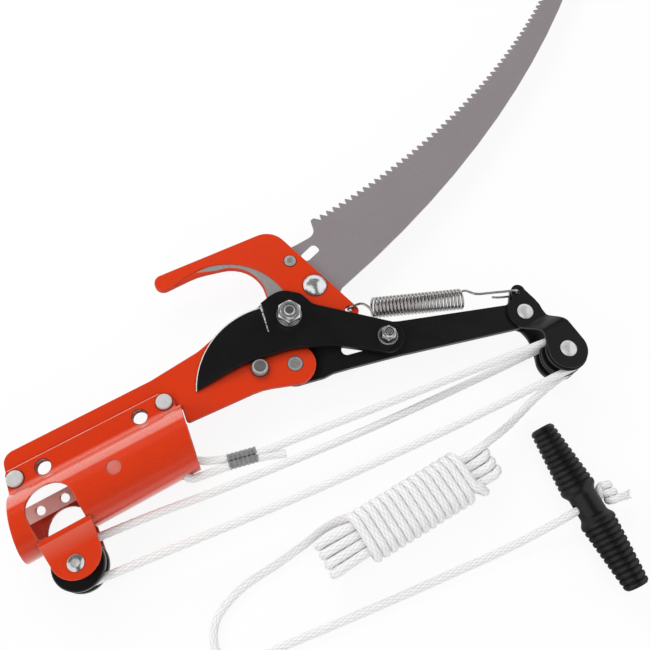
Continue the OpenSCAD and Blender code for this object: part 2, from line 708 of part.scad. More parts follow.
// Rope over the sheaves: half turns in the grooves and the runs between them
run_gap = 0.25;
function round_place(c, z, a) = [c[0] + rope_turn_r * cos(a), c[1] + rope_turn_r * sin(a), z];
function eased(from, to) = from + run_gap * unit(to - from);
out_from = lift(crimp_place + 8.3 * [cos(-13.6), sin(-13.6)], 0);
out_to = round_place(block_place, sheave_mid, 82);
second_from = round_place(guide_place, 0, 84);
second_to = round_place(block_place, -sheave_mid, 84);
back_from = round_place(guide_place, 0, -96);
back_to = round_place(block_place, sheave_mid, -96);
tail_from = round_place(block_place, -sheave_mid, -86);

module rope_turn(c, z, from, sweep) {
  color([0.92, 0.92, 0.9]) at(c, z) rotate([0, 0, from]) rotate_extrude(angle = sweep, $fn = 72)
    translate([rope_turn_r, 0]) circle(d = rope_d, $fn = 24);
}

module rope_wrap_front() {
  rope_turn(block_place, sheave_mid, -96, 178);
}

module rope_wrap_back() {
  rope_turn(block_place, -sheave_mid, -86, 170);
}

module rope_wrap_guide() {
  rope_turn(guide_place, 0, 84, 180);
}

module rope_run_out() {
  color([0.92, 0.92, 0.9]) rod(eased(out_from, out_to), eased(out_to, out_from), rope_d);
}

module rope_run_second() {
  sag = [[62, -27.6], [100, -33.4], [142, -38.8], [200, -45.4], [262, -50.4]];
  mid = [for (p = sag) lift(p, -sheave_mid * (p[0] - 20) / 298)];
  way = concat([eased(second_from, mid[0])], mid, [eased(second_to, mid[4])]);
  color([0.92, 0.92, 0.9]) tube(bend(way, 3), rope_d, 10);
}

module rope_run_back() {
  sag = [[62, -49], [101, -54.4], [155, -61.2], [210, -66.8], [262, -71.2]];
  mid = [for (p = sag) lift(p, sheave_mid * (p[0] - 20) / 298)];
  way = concat([eased(back_from, mid[0])], mid, [eased(back_to, mid[4])]);
  color([0.92, 0.92, 0.9]) tube(bend(way, 3), rope_d, 10);
}

// Anchor loop around the socket's hooked corner, closed by a pressed sleeve with two lobes
crimp_dir = [cos(-13.6), sin(-13.6)];
crimp_end = crimp_place - (8.3 + run_gap) * crimp_dir;
crimp_side = (rope_d / 2 + 0.2) * [sin(13.6), cos(13.6)];

module rope_anchor_loop() {
  way = [lift(crimp_end - crimp_side, 0), lift(crimp_end - crimp_side - 4 * crimp_dir, 0),
    [socket_len - 5, -21.9, -0.6], [socket_len - 10.4, -20.4, -0.6], [socket_len - 12.1, -16.8, 0],
    [socket_len - 9.6, -13.4, 0.8], [socket_len - 4, -13.2, 1], [socket_len + 2, -16.4, 0.6],
    lift(crimp_end + crimp_side - 3 * crimp_dir, 0), lift(crimp_end + crimp_side, 0)];
  color([0.92, 0.92, 0.9]) tube(bend(way, 3), rope_d, 10);
}

module crimp_sleeve() {
  color([0.45, 0.45, 0.46]) at(crimp_place) rotate([0, 0, -13.6]) rotate([0, 90, 0]) {
    for (i = [0 : 6]) translate([0, 0, -8.3 + 2.55 * i]) linear_extrude(1.3) lobes(rope_d + 0.8);
    translate([0, 0, -8.2]) linear_extrude(16.4) lobes(rope_d + 0.2);
  }
}

module lobes(d) {
  for (s = [-1, 1]) translate([0, s * rope_d * 0.42]) circle(d = d);
}

// The hank: four long loops side by side, wrapped around with many turns of the same rope
pitch = rope_d + strand_gap;
half_w = 1.5 * pitch + pitch + 0.2;
half_h = pitch * 1.5 + 0.3;
hank_place = [190, -95, table_z + half_h + rope_d / 2];
loop_reach = 46;
bight = 10;
function fan(u) = 1 + 0.22 * smooth((abs(u) - 34) / 20);
function rise(u) = pitch * (0.5 + 0.38 * smooth((abs(u) - 33) / 13));
function column(i) = (1.5 - i) * pitch;
function hank_at(u, v, w) = hank_place + [u, v, w];
function hank_loop(i) = concat(
  [for (k = [0 : 7]) let (u = loop_reach * (1 - 2 * k / 7)) hank_at(u, column(i) * fan(u), rise(u))],
  [for (a = [36 : 36 : 144]) let (u = -loop_reach - bight * sin(a))
    hank_at(u, column(i) * fan(u), rise(loop_reach) * cos(a))],
  [for (k = [0 : 7]) let (u = loop_reach * (2 * k / 7 - 1))
    if (i < 3 || k < 6) hank_at(u, column(i) * fan(u), -rise(u))],
  i == 3 ? [] : [for (a = [36 : 36 : 144]) let (u = loop_reach + bight * sin(a))
    hank_at(u, mix(column(i), column(i + 1), a / 180) * fan(u), -rise(loop_reach) * cos(a))]);
corner_r = half_h - 2.1;
wrap_side = concat([[0, half_h]], [for (a = [90 : -22.5 : 0])
  [half_w - corner_r + corner_r * cos(a), half_h - corner_r + corner_r * sin(a)]]);
wrap_ring = concat(wrap_side, [[half_w, 0]],
  [for (k = [5 : -1 : 1]) [wrap_side[k][0], -wrap_side[k][1]]], [[0, -half_h]],
  [for (k = [1 : 5]) [-wrap_side[k][0], -wrap_side[k][1]]], [[-half_w, 0]],
  [for (k = [5 : -1 : 1]) [-wrap_side[k][0], wrap_side[k][1]]]);
wrap_from = 36;
hank_path = concat([for (i = [0 : 3]) each hank_loop(i)],
  [hank_at(37.5, -half_w + 4.6, -3.1), hank_at(41.2, -half_w + 2.4, -2.6), hank_at(42.4, -half_w - 0.3, 0.2),
    hank_at(41, -half_w + 0.2, 4.2), hank_at(38.6, -half_w + 3.4, half_h - 0.3)],
  [for (j = [22 : 24 * wrap_count + 30]) let (p = wrap_ring[j % 24])
    hank_at(wrap_from - pitch * (j - 24) / 24, p[0], p[1])]);

module rope_hank() {
  echo(hank_gap = least_gap(hank_path, rope_d, 8));
  color([0.92, 0.92, 0.9]) tube(hank_path, rope_d, 6);
}

// Free rope from the block to the hank and from the hank to the handle
handle_place = [280.5, -144.4, table_z + handle_d / 2];
handle_turn = -3.9;
rope_floor = table_z + rope_d / 2;
tail_points = [[306, -75.7, -5.4], [292, -77.6, -7.6], [278, -80.8, -8.4], [266, -83.6, -7.6],
  [251, -85.6, -5]];
lead_end = hank_path[len(hank_path) - 1];
lead_points = [[150, -79.6, -15.4], [141, -79.4, 0], [130, -81, 0], [110, -82.8, 0], [87, -84.2, 0],
  [68.5, -91.4, 0], [61, -104.5, 0], [65.5, -115.5, 0], [76, -119.6, 0], [92, -121, 0], [124, -126.2, 0],
  [156, -131.2, 0], [190, -136, 0], [223, -140.6, 0], [248, -142.9, -13], [266, -143.9, -8.4]];

module rope_tail() {
  way = concat([eased(tail_from, tail_points[0])], tail_points,
    [hank_path[0] + 0.5 * unit(tail_points[4] - hank_path[0])]);
  color([0.92, 0.92, 0.9]) tube(bend(way, 3), rope_d, 10);
}

module rope_lead() {
  way = concat([lead_end], [for (p = lead_points) [p[0], p[1], p[2] == 0 ? rope_floor : p[2]]],
    [handle_place, handle_place + [handle_waist_d / 2 + 0.5, 0, 0]]);
  color([0.92, 0.92, 0.9]) tube(bend(way, 3), rope_d, 10);
}

module rope_knot() {
  color([0.93, 0.93, 0.91]) translate(handle_place + [handle_waist_d / 2 + 7, 0, 0]) difference() {
    sphere(d = 14, $fn = 96);
    translate([-10 - 6.5, -10, -10]) cube([10, 20, 20]);
  }
}

// Ribbed pull handle with a cross hole for the rope
module pull_handle() {
  half = handle_len / 2;
  rib_from = 10.4;
  rib_step = (half - 2.6 - rib_from) / rib_count;
  function skin(s) = s < rib_from ? mix(handle_waist_d, handle_d, smooth((s - 6) / (rib_from - 6))) / 2
    : mix(handle_d, handle_end_d, (s - rib_from) / (half - rib_from)) / 2;
  side = concat([for (s = [6, 7.2, 8.4, 9.4]) [skin(s), s]],
    [for (i = [0 : rib_count - 1]) let (s = rib_from + i * rib_step) each [[skin(s), s],
      [skin(s), s + rib_step * 0.34], [skin(s) - 0.35, s + rib_step * 0.56], [skin(s) - 1, s + rib_step * 0.72],
      [skin(s) - 1, s + rib_step * 0.82], [skin(s) - 0.35, s + rib_step * 0.94]]],
    [[skin(half - 2.6), half - 2.6], [handle_end_d / 2, half - 1.2], [handle_end_d / 2 - 1.2, half], [0, half]]);
  color([0.09, 0.09, 0.09]) translate(handle_place) rotate([0, 0, handle_turn]) difference() {
    rotate([-90, 0, 0]) rotate_extrude($fn = 64)
      polygon(concat(side, [for (i = [len(side) - 1 : -1 : 0]) [side[i][0], -side[i][1]]]));
    translate([-30, 0, 0]) rotate([0, 90, 0]) cylinder(d = handle_hole_d, h = 60);
  }
}

body_plate();
pole_socket();
socket_rivets();
saw_blade();
saw_bolt();
saw_nut();
saw_rivet();
pivot_bolt();
pivot_washer();
pivot_nut();
cutting_blade();
stop_pin();
lever_rivet();
lever_arm();
link_bolt();
link_back_washer();
link_washer();
link_spring_washer();
link_nut();
front_cheek();
back_cheek();
cheek_rivet();
sheave_axle();
front_sheave();
back_sheave();
guide_sheave();
guide_axle();
return_spring();
spring_hook();
crimp_sleeve();
rope_anchor_loop();
rope_run_out();
rope_wrap_front();
rope_run_back();
rope_wrap_guide();
rope_run_second();
rope_wrap_back();
rope_tail();
rope_hank();
rope_lead();
rope_knot();
pull_handle();
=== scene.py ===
import math

import bmesh
import bpy
import numpy as np
from mathutils import Matrix, Vector


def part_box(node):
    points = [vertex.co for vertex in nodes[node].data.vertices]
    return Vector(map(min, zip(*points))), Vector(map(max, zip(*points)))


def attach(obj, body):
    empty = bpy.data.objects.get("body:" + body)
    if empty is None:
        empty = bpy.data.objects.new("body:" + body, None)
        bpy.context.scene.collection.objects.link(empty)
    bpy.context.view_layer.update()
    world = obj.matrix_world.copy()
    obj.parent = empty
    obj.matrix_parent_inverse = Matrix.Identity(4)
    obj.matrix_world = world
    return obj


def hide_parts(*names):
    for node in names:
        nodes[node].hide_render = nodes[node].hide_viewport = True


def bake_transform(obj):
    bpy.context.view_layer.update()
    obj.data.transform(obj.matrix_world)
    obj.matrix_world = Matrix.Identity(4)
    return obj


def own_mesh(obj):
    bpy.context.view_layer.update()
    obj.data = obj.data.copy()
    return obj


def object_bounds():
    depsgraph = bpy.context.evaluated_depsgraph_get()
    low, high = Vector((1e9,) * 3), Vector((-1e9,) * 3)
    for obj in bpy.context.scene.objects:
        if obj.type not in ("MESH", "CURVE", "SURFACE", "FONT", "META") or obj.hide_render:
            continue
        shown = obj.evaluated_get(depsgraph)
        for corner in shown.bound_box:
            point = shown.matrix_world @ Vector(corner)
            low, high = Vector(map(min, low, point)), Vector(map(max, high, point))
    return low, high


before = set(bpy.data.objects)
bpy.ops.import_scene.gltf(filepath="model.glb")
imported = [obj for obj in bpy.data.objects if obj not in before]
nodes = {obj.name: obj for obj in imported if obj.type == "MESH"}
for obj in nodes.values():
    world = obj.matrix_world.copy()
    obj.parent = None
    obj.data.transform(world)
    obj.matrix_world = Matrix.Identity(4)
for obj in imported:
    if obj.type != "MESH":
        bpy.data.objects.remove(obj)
cad_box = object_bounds()

# Table, light and camera
# The tool lies flat on a white studio table. A long soft light stands behind it, a weaker one to the
# left and a low fill in front. The room is dark overhead, with a white panel on either side for
# bright metal to mirror.
eye = (0.0836, -0.1177, 0.430)
right, up, back = (0.8585, -0.5077, 0.0714), (0.4453, 0.8074, 0.3870), (-0.2541, -0.3004, 0.9193)
camera = bpy.data.objects.new("camera", bpy.data.cameras.new("camera"))
camera.matrix_world = Matrix.Translation(eye) @ Matrix((right, up, back)).transposed().to_4x4()
camera.data.lens = 42.76
camera.data.sensor_width = 36
camera.data.clip_start = 0.01
bpy.context.scene.collection.objects.link(camera)
bpy.context.scene.camera = camera
bpy.context.scene.view_settings.view_transform = "Standard"


def put(tree, kind, values=None, **settings):
    """Adds a shader node; a value that is a socket is linked."""
    added = tree.nodes.new("ShaderNode" + kind)
    for key, value in settings.items():
        setattr(added, key, value)
    for key, value in (values or {}).items():
        if isinstance(value, bpy.types.NodeSocket):
            tree.links.new(value, added.inputs[key])
        else:
            added.inputs[key].default_value = value
    return added


def calc(tree, operation, *values):
    """One step of arithmetic on sockets and numbers."""
    return put(tree, "Math", dict(enumerate(values)), operation=operation).outputs[0]


def times(tree, first, *others):
    """The product of masks, patterns and numbers."""
    for other in others:
        first = calc(tree, "MULTIPLY", first, other)
    return first


def dot(tree, first, second):
    """How far one vector goes along another."""
    return put(tree, "VectorMath", {0: first, 1: second}, operation="DOT_PRODUCT").outputs["Value"]


def ramp(tree, value, start, end, low=0.0, high=1.0):
    """Maps start to end onto low to high, and goes no further."""
    limits = {"From Min": start, "From Max": end, "To Min": low, "To Max": high}
    return put(tree, "MapRange", {"Value": value, **limits}).outputs[0]


def between(tree, share, first, second):
    """From first, where share is 0, to second, where it is 1."""
    return ramp(tree, share, 0.0, 1.0, first, second)


# What metal mirrors: white walls that are dim towards the viewer, a dark ceiling, and the two panels,
# each given by its direction and how near to it the panel starts and is full.
white = (1, 1, 1, 1)
room_light, dim, overhead = 0.60, 0.25, 0.06
front_wall, ceiling = (-0.75, -0.35), (0.36, 0.43)
right_panel = ((0.82, -0.45, 0.35), 0.60, 0.69)
left_panel = ((-0.88, -0.20, 0.43), 0.67, 0.76)
world = bpy.data.worlds.new("studio")
bpy.context.scene.world = world
world.use_nodes = True
sky = world.node_tree
sky.nodes.clear()
way = put(sky, "TexCoord").outputs["Object"]
heading = put(sky, "SeparateXYZ", {"Vector": way}).outputs
walls = ramp(sky, heading["Y"], *front_wall, dim, 1.0)
mirrored = ramp(sky, heading["Z"], *ceiling, walls, overhead)
for towards, outer, inner in (right_panel, left_panel):
    panel = ramp(sky, dot(sky, way, towards), outer, inner)
    mirrored = calc(sky, "MAXIMUM", mirrored, panel)
rays = put(sky, "LightPath").outputs
level = between(sky, rays["Is Glossy Ray"], room_light, mirrored)
straight = calc(sky, "MAXIMUM", rays["Is Camera Ray"], rays["Is Transmission Ray"])
air = put(sky, "Background", {"Color": white, "Strength": between(sky, straight, level, 1.0)})
sky.links.new(air.outputs[0], put(sky, "OutputWorld").inputs["Surface"])

# The table lies a hair under the lowest solid, because the hank's strands are fuller than in the CAD.
table_z = cad_box[0][2]
table_drop, table_half, table_mid_x = 0.0004, 3, 0.2
front_half, glow_share = (-0.16, -0.03), 0.9
table_mesh = bpy.data.meshes.new("table")
bm = bmesh.new()
bmesh.ops.create_grid(bm, x_segments=1, y_segments=1, size=table_half)
bmesh.ops.translate(bm, verts=bm.verts, vec=(table_mid_x, 0, table_z - table_drop))
bm.to_mesh(table_mesh)
bm.free()
table = bpy.data.objects.new("table", table_mesh)
bpy.context.scene.collection.objects.link(table)
table_top = bpy.data.materials.new("white_table")
table_top.use_nodes = True
tree = table_top.node_tree
tree.nodes.clear()
place = put(tree, "TexCoord").outputs["Object"]
towards_back = put(tree, "SeparateXYZ", {"Vector": place}).outputs["Y"]
rays = put(tree, "LightPath").outputs
bright = between(tree, rays["Is Glossy Ray"], 1.0, ramp(tree, towards_back, *front_half, dim, 1.0))
glow = put(tree, "Emission", {"Color": white, "Strength": bright})
matt = put(tree, "BsdfDiffuse", {"Color": (0.93, 0.93, 0.93, 1)})
seen = calc(tree, "MAXIMUM", rays["Is Camera Ray"], rays["Is Glossy Ray"])
seen = calc(tree, "MAXIMUM", seen, rays["Is Transmission Ray"])
both = put(tree, "MixShader", {0: times(tree, seen, glow_share), 1: matt.outputs[0], 2: glow.outputs[0]})
tree.links.new(both.outputs[0], put(tree, "OutputMaterial").inputs["Surface"])
table_mesh.materials.append(table_top)


def softbox(name, place, aim, size, watts):
    """A lamp that lights the object but is not mirrored in it: only the room and its panels are."""
    lamp = bpy.data.lights.new(name, "AREA")
    lamp.shape = "RECTANGLE"
    lamp.size, lamp.size_y = size
    lamp.energy = watts
    obj = bpy.data.objects.new(name, lamp)
    turn = (Vector(aim) - Vector(place)).to_track_quat("-Z", "Y").to_matrix().to_4x4()
    obj.matrix_world = Matrix.Translation(place) @ turn
    obj.visible_glossy = False
    bpy.context.scene.collection.objects.link(obj)


softbox("back_light", place=(0.16, 0.85, 0.75), aim=(0.14, 0, 0), size=(1.0, 0.5), watts=6.2)
softbox("left_light", place=(-0.75, 0.15, 0.70), aim=(0.15, -0.02, 0), size=(0.35, 0.35), watts=2.2)
softbox("front_fill", place=(0.20, -0.90, 0.35), aim=(0.15, -0.02, 0), size=(1.0, 0.4), watts=1.9)


# Body plate
# The hooked plate is punched from 4 mm steel and powder coated orange red. The inside of its hook
# is ground bare after coating, as the counter edge of the cutting blade.
def shared_group(name, inputs, outputs):
    """A node group; returns it, what its inputs give and what its outputs take."""
    group = bpy.data.node_groups.new(name, "ShaderNodeTree")
    for label, kind, value in inputs:
        socket = group.interface.new_socket(label, in_out="INPUT", socket_type="NodeSocket" + kind)
        if value is not None:
            socket.default_value = value
    for label in outputs:
        group.interface.new_socket(label, in_out="OUTPUT", socket_type="NodeSocketFloat")
    return group, group.nodes.new("NodeGroupInput").outputs, group.nodes.new("NodeGroupOutput").inputs


# Grain: broad clouds and fine specks that vary colour, gloss and height of every finish.
grain, given, wanted = shared_group("surface_grain",
    [("Vector", "Vector", None), ("Cloud Scale", "Float", 60.0), ("Speck Scale", "Float", 900.0)],
    ["Clouds", "Specks"])
for label, scale, detail in (("Clouds", "Cloud Scale", 4.0), ("Specks", "Speck Scale", 2.0)):
    noise = put(grain, "TexNoise", {"Vector": given["Vector"], "Scale": given[scale], "Detail": detail})
    grain.links.new(noise.outputs["Fac"], wanted[label])

# Painted corner shade: a mask from ambient occlusion that is high in corners and around heads, where the
# colour is darkened as painted shade.
open_sky, deep_corner = 0.92, 0.42
corner_shade, given, wanted = shared_group("painted_corner_shade", [("Reach", "Float", 0.0015)], ["Mask"])
hidden = put(corner_shade, "AmbientOcclusion", {"Distance": given["Reach"]}, samples=6).outputs["AO"]
corner_shade.links.new(ramp(corner_shade, hidden, open_sky, deep_corner), wanted["Mask"])

# Edge wear: a mask that is high along convex edges, broken up by noise.
on_flat, on_edge = 0.985, 0.86
wear, given, wanted = shared_group("edge_wear",
    [("Vector", "Vector", None), ("Width", "Float", 0.0006), ("Break Up", "Float", 300.0)], ["Mask"])
eased = put(wear, "Bevel", {"Radius": given["Width"]}, samples=6).outputs[0]
match = dot(wear, eased, put(wear, "NewGeometry").outputs["Normal"])
noise = put(wear, "TexNoise", {"Vector": given["Vector"], "Scale": given["Break Up"], "Detail": 3.0})
patchy = ramp(wear, noise.outputs["Fac"], 0.38, 0.62)
wear.links.new(times(wear, ramp(wear, match, on_flat, on_edge), patchy), wanted["Mask"])


def finish(name, **sockets):
    """A new material; returns it, its tree, its shader and its Object coordinates."""
    mat = bpy.data.materials.new(name)
    mat.use_nodes = True
    shader = mat.node_tree.nodes["Principled BSDF"]
    for label, value in sockets.items():
        shader.inputs[label.replace("_", " ")].default_value = value
    return mat, mat.node_tree, shader, put(mat.node_tree, "TexCoord").outputs["Object"]


def feed(tree, shader, **sockets):
    """Links patterns to the shader's sockets."""
    for label, value in sockets.items():
        tree.links.new(value, shader.inputs[label.replace("_", " ")])


def effect(tree, group, **values):
    """Places a shared group in a material; returns what it puts out."""
    sockets = {label.replace("_", " "): value for label, value in values.items()}
    return put(tree, "Group", sockets, node_tree=group).outputs


def spread(tree, pattern, low, high):
    """Maps the middle of a noise pattern onto low to high."""
    return ramp(tree, pattern, 0.3, 0.7, low, high)


def tint(tree, share, first, second):
    """Mixes two colours by share; a colour is a socket, or red, green and blue."""
    first, second = (c if isinstance(c, bpy.types.NodeSocket) else (*c, 1) for c in (first, second))
    colour_a, colour_b, mixed = 6, 7, 2
    mix = put(tree, "Mix", {"Factor": share, colour_a: first, colour_b: second}, data_type="RGBA")
    return mix.outputs[mixed]


def raised(tree, shader, height, strength, distance, soft_edge=0.0):
    """Bump from a pattern, over edges that are eased by soft_edge metres."""
    bump = put(tree, "Bump", {"Height": height, "Strength": strength, "Distance": distance})
    if soft_edge:
        eased = put(tree, "Bevel", {"Radius": soft_edge}, samples=4)
        tree.links.new(eased.outputs[0], bump.inputs["Normal"])
    tree.links.new(bump.outputs[0], shader.inputs["Normal"])


def eased_piece(name, node, body, width, mat):
    """A copy of a CAD piece with its cut edges rounded over by width, as tumbling and the coat do."""
    flat_angle, cut_angle, crease_angle = math.radians(1), math.radians(40), math.radians(50)
    bm = bmesh.new()
    bm.from_mesh(nodes[node].data)
    bmesh.ops.remove_doubles(bm, verts=bm.verts, dist=1e-6)
    bmesh.ops.dissolve_limit(bm, angle_limit=flat_angle, verts=bm.verts, edges=bm.edges)
    cut_edges = [e for e in bm.edges if e.is_manifold and e.calc_face_angle(0) > cut_angle]
    bmesh.ops.bevel(bm, geom=cut_edges, offset=width, offset_type="OFFSET", affect="EDGES", segments=2,
        profile=0.5, material=-1, clamp_overlap=False)
    for face in bm.faces:
        face.smooth = True
    mesh = bpy.data.meshes.new(name)
    bm.to_mesh(mesh)
    bm.free()
    mesh.set_sharp_from_angle(angle=crease_angle)
    mesh.materials.append(mat)
    obj = bpy.data.objects.new(name, mesh)
    bpy.context.scene.collection.objects.link(obj)
    even = obj.modifiers.new("even_shading", "WEIGHTED_NORMAL")
    even.keep_sharp = True
    even.weight = 100
    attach(obj, body)
    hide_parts(node)


def within(tree, value, low, high):
    """1 where low < value < high, else 0."""
    return times(tree, calc(tree, "GREATER_THAN", value, low), calc(tree, "LESS_THAN", value, high))


def ring(tree, place, centre, inner, outer):
    """1 between two radii about an upright axis through centre."""
    flat = put(tree, "VectorMath", {0: place, 1: (1, 1, 0)}, operation="MULTIPLY").outputs[0]
    away = put(tree, "VectorMath", {0: flat, 1: (*centre, 0)}, operation="DISTANCE").outputs["Value"]
    return within(tree, away, inner, outer)


def zone(tree, place, **limits):
    """1 inside a box that has low and high limits along X, Y or Z."""
    spot = put(tree, "SeparateXYZ", {"Vector": place}).outputs
    return times(tree, *(within(tree, spot[axis], low, high) for axis, (low, high) in limits.items()))


def past_line(tree, place, point, direction):
    """Distance past an upright wall through point, in a flat direction."""
    gap = put(tree, "VectorMath", {0: place, 1: (*point, 0)}, operation="SUBTRACT").outputs[0]
    return dot(tree, gap, (*direction, 0))


def cut_wall(tree, axis, low, high):
    """Mask of the walls that the punch left, by the size of the normal along an axis."""
    normal = put(tree, "NewGeometry").outputs["True Normal"]
    lean = put(tree, "SeparateXYZ", {"Vector": normal}).outputs[axis]
    return within(tree, calc(tree, "ABSOLUTE", lean), low, high)


# An open limit, past every piece of the tool.
beyond = 1.0
orange, bright_orange, thin_orange = (0.69, 0.033, 0.001), (0.76, 0.045, 0.002), (0.78, 0.13, 0.05)
cloud_orange, wall_shade_orange = (0.52, 0.024, 0.004), (0.46, 0.020, 0.003)
corner_shade_orange, hole_wall_shade, head_shadow = (0.08, 0.005, 0.002), (0.12, 0.008, 0.003), (0.07, 0.006, 0.003)
bare_steel, dull_steel = (0.42, 0.40, 0.395), (0.34, 0.32, 0.315)
full_coat, dull_coat, dull_gloss = 0.9, 0.1, 0.7
flange_holes = ((0.0245, 0.0237), (0.0815, 0.0237))
hole_r, ring_width = 0.0047, 0.0006


def orange_paint(name, heads):
    """Powder coat with thin edges, painted shade in corners and in the flange holes, and a painted shadow
    ring around each head (centre, radius).
    """
    mat, tree, shader, place = finish(name, Specular_IOR_Level=0.5, Coat_Weight=full_coat,
        Coat_Roughness=0.12)
    grains = effect(tree, grain, Vector=place, Cloud_Scale=45.0, Speck_Scale=1500.0)
    edges = effect(tree, wear, Vector=place, Width=0.0007, Break_Up=260.0)
    shaded_corners = effect(tree, corner_shade, Reach=0.0022)
    colour = tint(tree, spread(tree, grains["Specks"], 0.0, 1.0), orange, bright_orange)
    colour = tint(tree, spread(tree, grains["Clouds"], 0.0, 0.2), colour, cloud_orange)
    colour = tint(tree, between(tree, edges["Mask"], 0.0, 0.55), colour, thin_orange)
    # Painted shade darkens the corners.
    colour = tint(tree, between(tree, shaded_corners["Mask"], 0.0, 0.8), colour, corner_shade_orange)
    gloss = spread(tree, grains["Clouds"], 0.15, 0.22)
    # Painted shade darkens the walls of the flange holes.
    for centre in flange_holes:
        hole = ring(tree, place, centre, 0.0, hole_r)
        colour = tint(tree, hole, colour, hole_wall_shade)
        gloss = between(tree, hole, gloss, 0.85)
    # A painted contact shadow rings each head.
    for centre, radius in heads:
        around = ring(tree, place, centre, radius, radius + ring_width)
        colour = tint(tree, times(tree, around, 0.85), colour, head_shadow)
    raised(tree, shader, grains["Specks"], 0.16, 0.0002, 0.0007)
    return mat, tree, shader, place, colour, gloss, grains


def dulled(tree, shader, gloss, mask):
    """Takes the coat's shine off where the mask is 1; returns the roughness."""
    feed(tree, shader, Coat_Weight=between(tree, mask, full_coat, dull_coat))
    return between(tree, mask, gloss, dull_gloss)


def flat_mid(node):
    """The middle of a CAD piece, seen from above."""
    low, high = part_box(node)
    return (low[0] + high[0]) / 2, (low[1] + high[1]) / 2


plate_heads = (("lever_rivet", 0.0043), ("stop_pin", 0.0048), ("saw_rivet", 0.0036), ("saw_bolt", 0.00715))
plate_paint, tree, shader, place, colour, gloss, grains = orange_paint("plate_paint",
    [(flat_mid(node), radius) for node, radius in plate_heads])
# The ground band lies on the step inside the hook, from its lip round to its root.
band_mid, band_r, band_from = (0.1534, 0.0513), 0.0394, 0.0518
mouth_mid, mouth_r, step_z = (0.1602, 0.0638), 0.0221, (0.0014, 0.0016)
lip_end, lip_direction, root_from = (0.1514, 0.0901), (0.366, 0.931), 0.170
band = times(tree, ring(tree, place, band_mid, 0.0, band_r), ring(tree, place, mouth_mid, mouth_r, beyond))
band = times(tree, band, zone(tree, place, Y=(band_from, beyond), Z=step_z))
past_lip = within(tree, past_line(tree, place, lip_end, lip_direction), 0.0, beyond)
at_root = zone(tree, place, X=(root_from, beyond))
ground = times(tree, band, calc(tree, "MAXIMUM", past_lip, at_root))
strokes = put(tree, "Mapping", {"Vector": place, "Scale": (900, 90, 1)}).outputs[0]
scratches = put(tree, "TexNoise", {"Vector": strokes, "Scale": 1.0}).outputs["Fac"]
steel = tint(tree, spread(tree, scratches, 0.0, 1.0), dull_steel, bare_steel)
wall = cut_wall(tree, "Z", -0.1, 0.5)
gloss = dulled(tree, shader, gloss, wall)
# Painted shade: the cut walls, which face sideways, are tinted darker.
colour = tint(tree, times(tree, wall, 0.6), colour, wall_shade_orange)
feed(tree, shader, Base_Color=tint(tree, ground, colour, steel), Metallic=times(tree, ground, 0.35),
    Roughness=between(tree, ground, gloss, 0.5))
eased_piece("hooked_plate", "body_plate", "frame", 0.0004, plate_paint)

# Pole socket
# The socket is rolled from 2.5 mm sheet with a flange along its seam and two tabs folded out of its
# windows. It has the same powder coat as the plate and is riveted to it.
flange_heads = (((0.009, 0.02475), 0.0045), ((0.097, 0.02475), 0.0045))
bore_r, bore_back_y = 0.0166, 0.0037
bore_shade, far_wall_highlight = (0.26, 0.010, 0.003), (0.98, 0.62, 0.57)
shoulder_low, shoulder_high, shoulder_highlight = (0.0072, 0.0086), (0.0205, 0.0190), (0.84, 0.46, 0.38)
dent_mid, dent_r, dent_z, dent_highlight = (0.058, 0.001), 0.0038, 0.01, (0.70, 0.25, 0.20)
fold_y, fold_rise, fold_z, fold_highlight = (-0.03, -0.0168), (-0.027, -0.0175), 0.0095, (0.74, 0.24, 0.17)
lip_y, foot_y, flange_z, lip_highlight = (0.0304, 0.0309), (0.0170, 0.0207), 0.0042, (0.95, 0.50, 0.42)
socket_paint, tree, shader, place, colour, gloss, grains = orange_paint("socket_paint", flange_heads)
spot = put(tree, "SeparateXYZ", {"Vector": place}).outputs
clouds = grains["Clouds"]
# Painted shade darkens the bore, and a painted highlight makes its far wall pale where it is seen through
# the window.
across = put(tree, "VectorMath", {0: place, 1: (0, 1, 1)}, operation="MULTIPLY").outputs[0]
from_axis = put(tree, "VectorMath", {0: across}, operation="LENGTH").outputs["Value"]
inside = within(tree, from_axis, 0.0, bore_r)
far_wall = times(tree, inside, zone(tree, place, Y=(bore_back_y, beyond)), spread(tree, clouds, 0.8, 0.95))
# Painted highlights: pale sheen colour along the tube's shoulder, in the dent, at the fold and on the
# flange's lip.
shoulder_sheen = times(tree, ramp(tree, spot["Y"], *shoulder_low), ramp(tree, spot["Y"], *shoulder_high),
    zone(tree, place, Z=(0.0, beyond)), spread(tree, grains["Specks"], 0.16, 0.36))
# Painted highlight in the dent.
dent_sheen = times(tree, ring(tree, place, dent_mid, 0.0, dent_r), zone(tree, place, Z=(dent_z, beyond)),
    spread(tree, clouds, 0.55, 0.85))
# Painted highlight along the fold.
fold_sheen = times(tree, ramp(tree, spot["Y"], *fold_rise, 0.0, 0.42),
    zone(tree, place, Y=fold_y, Z=(fold_z, beyond)), spread(tree, clouds, 0.5, 1.0))
# Painted highlight on the flange's lip.
lip_sheen = times(tree, zone(tree, place, Y=lip_y, Z=(flange_z, beyond)), spread(tree, clouds, 0.35, 0.75))
wall = cut_wall(tree, "X", 0.55, 1.1)
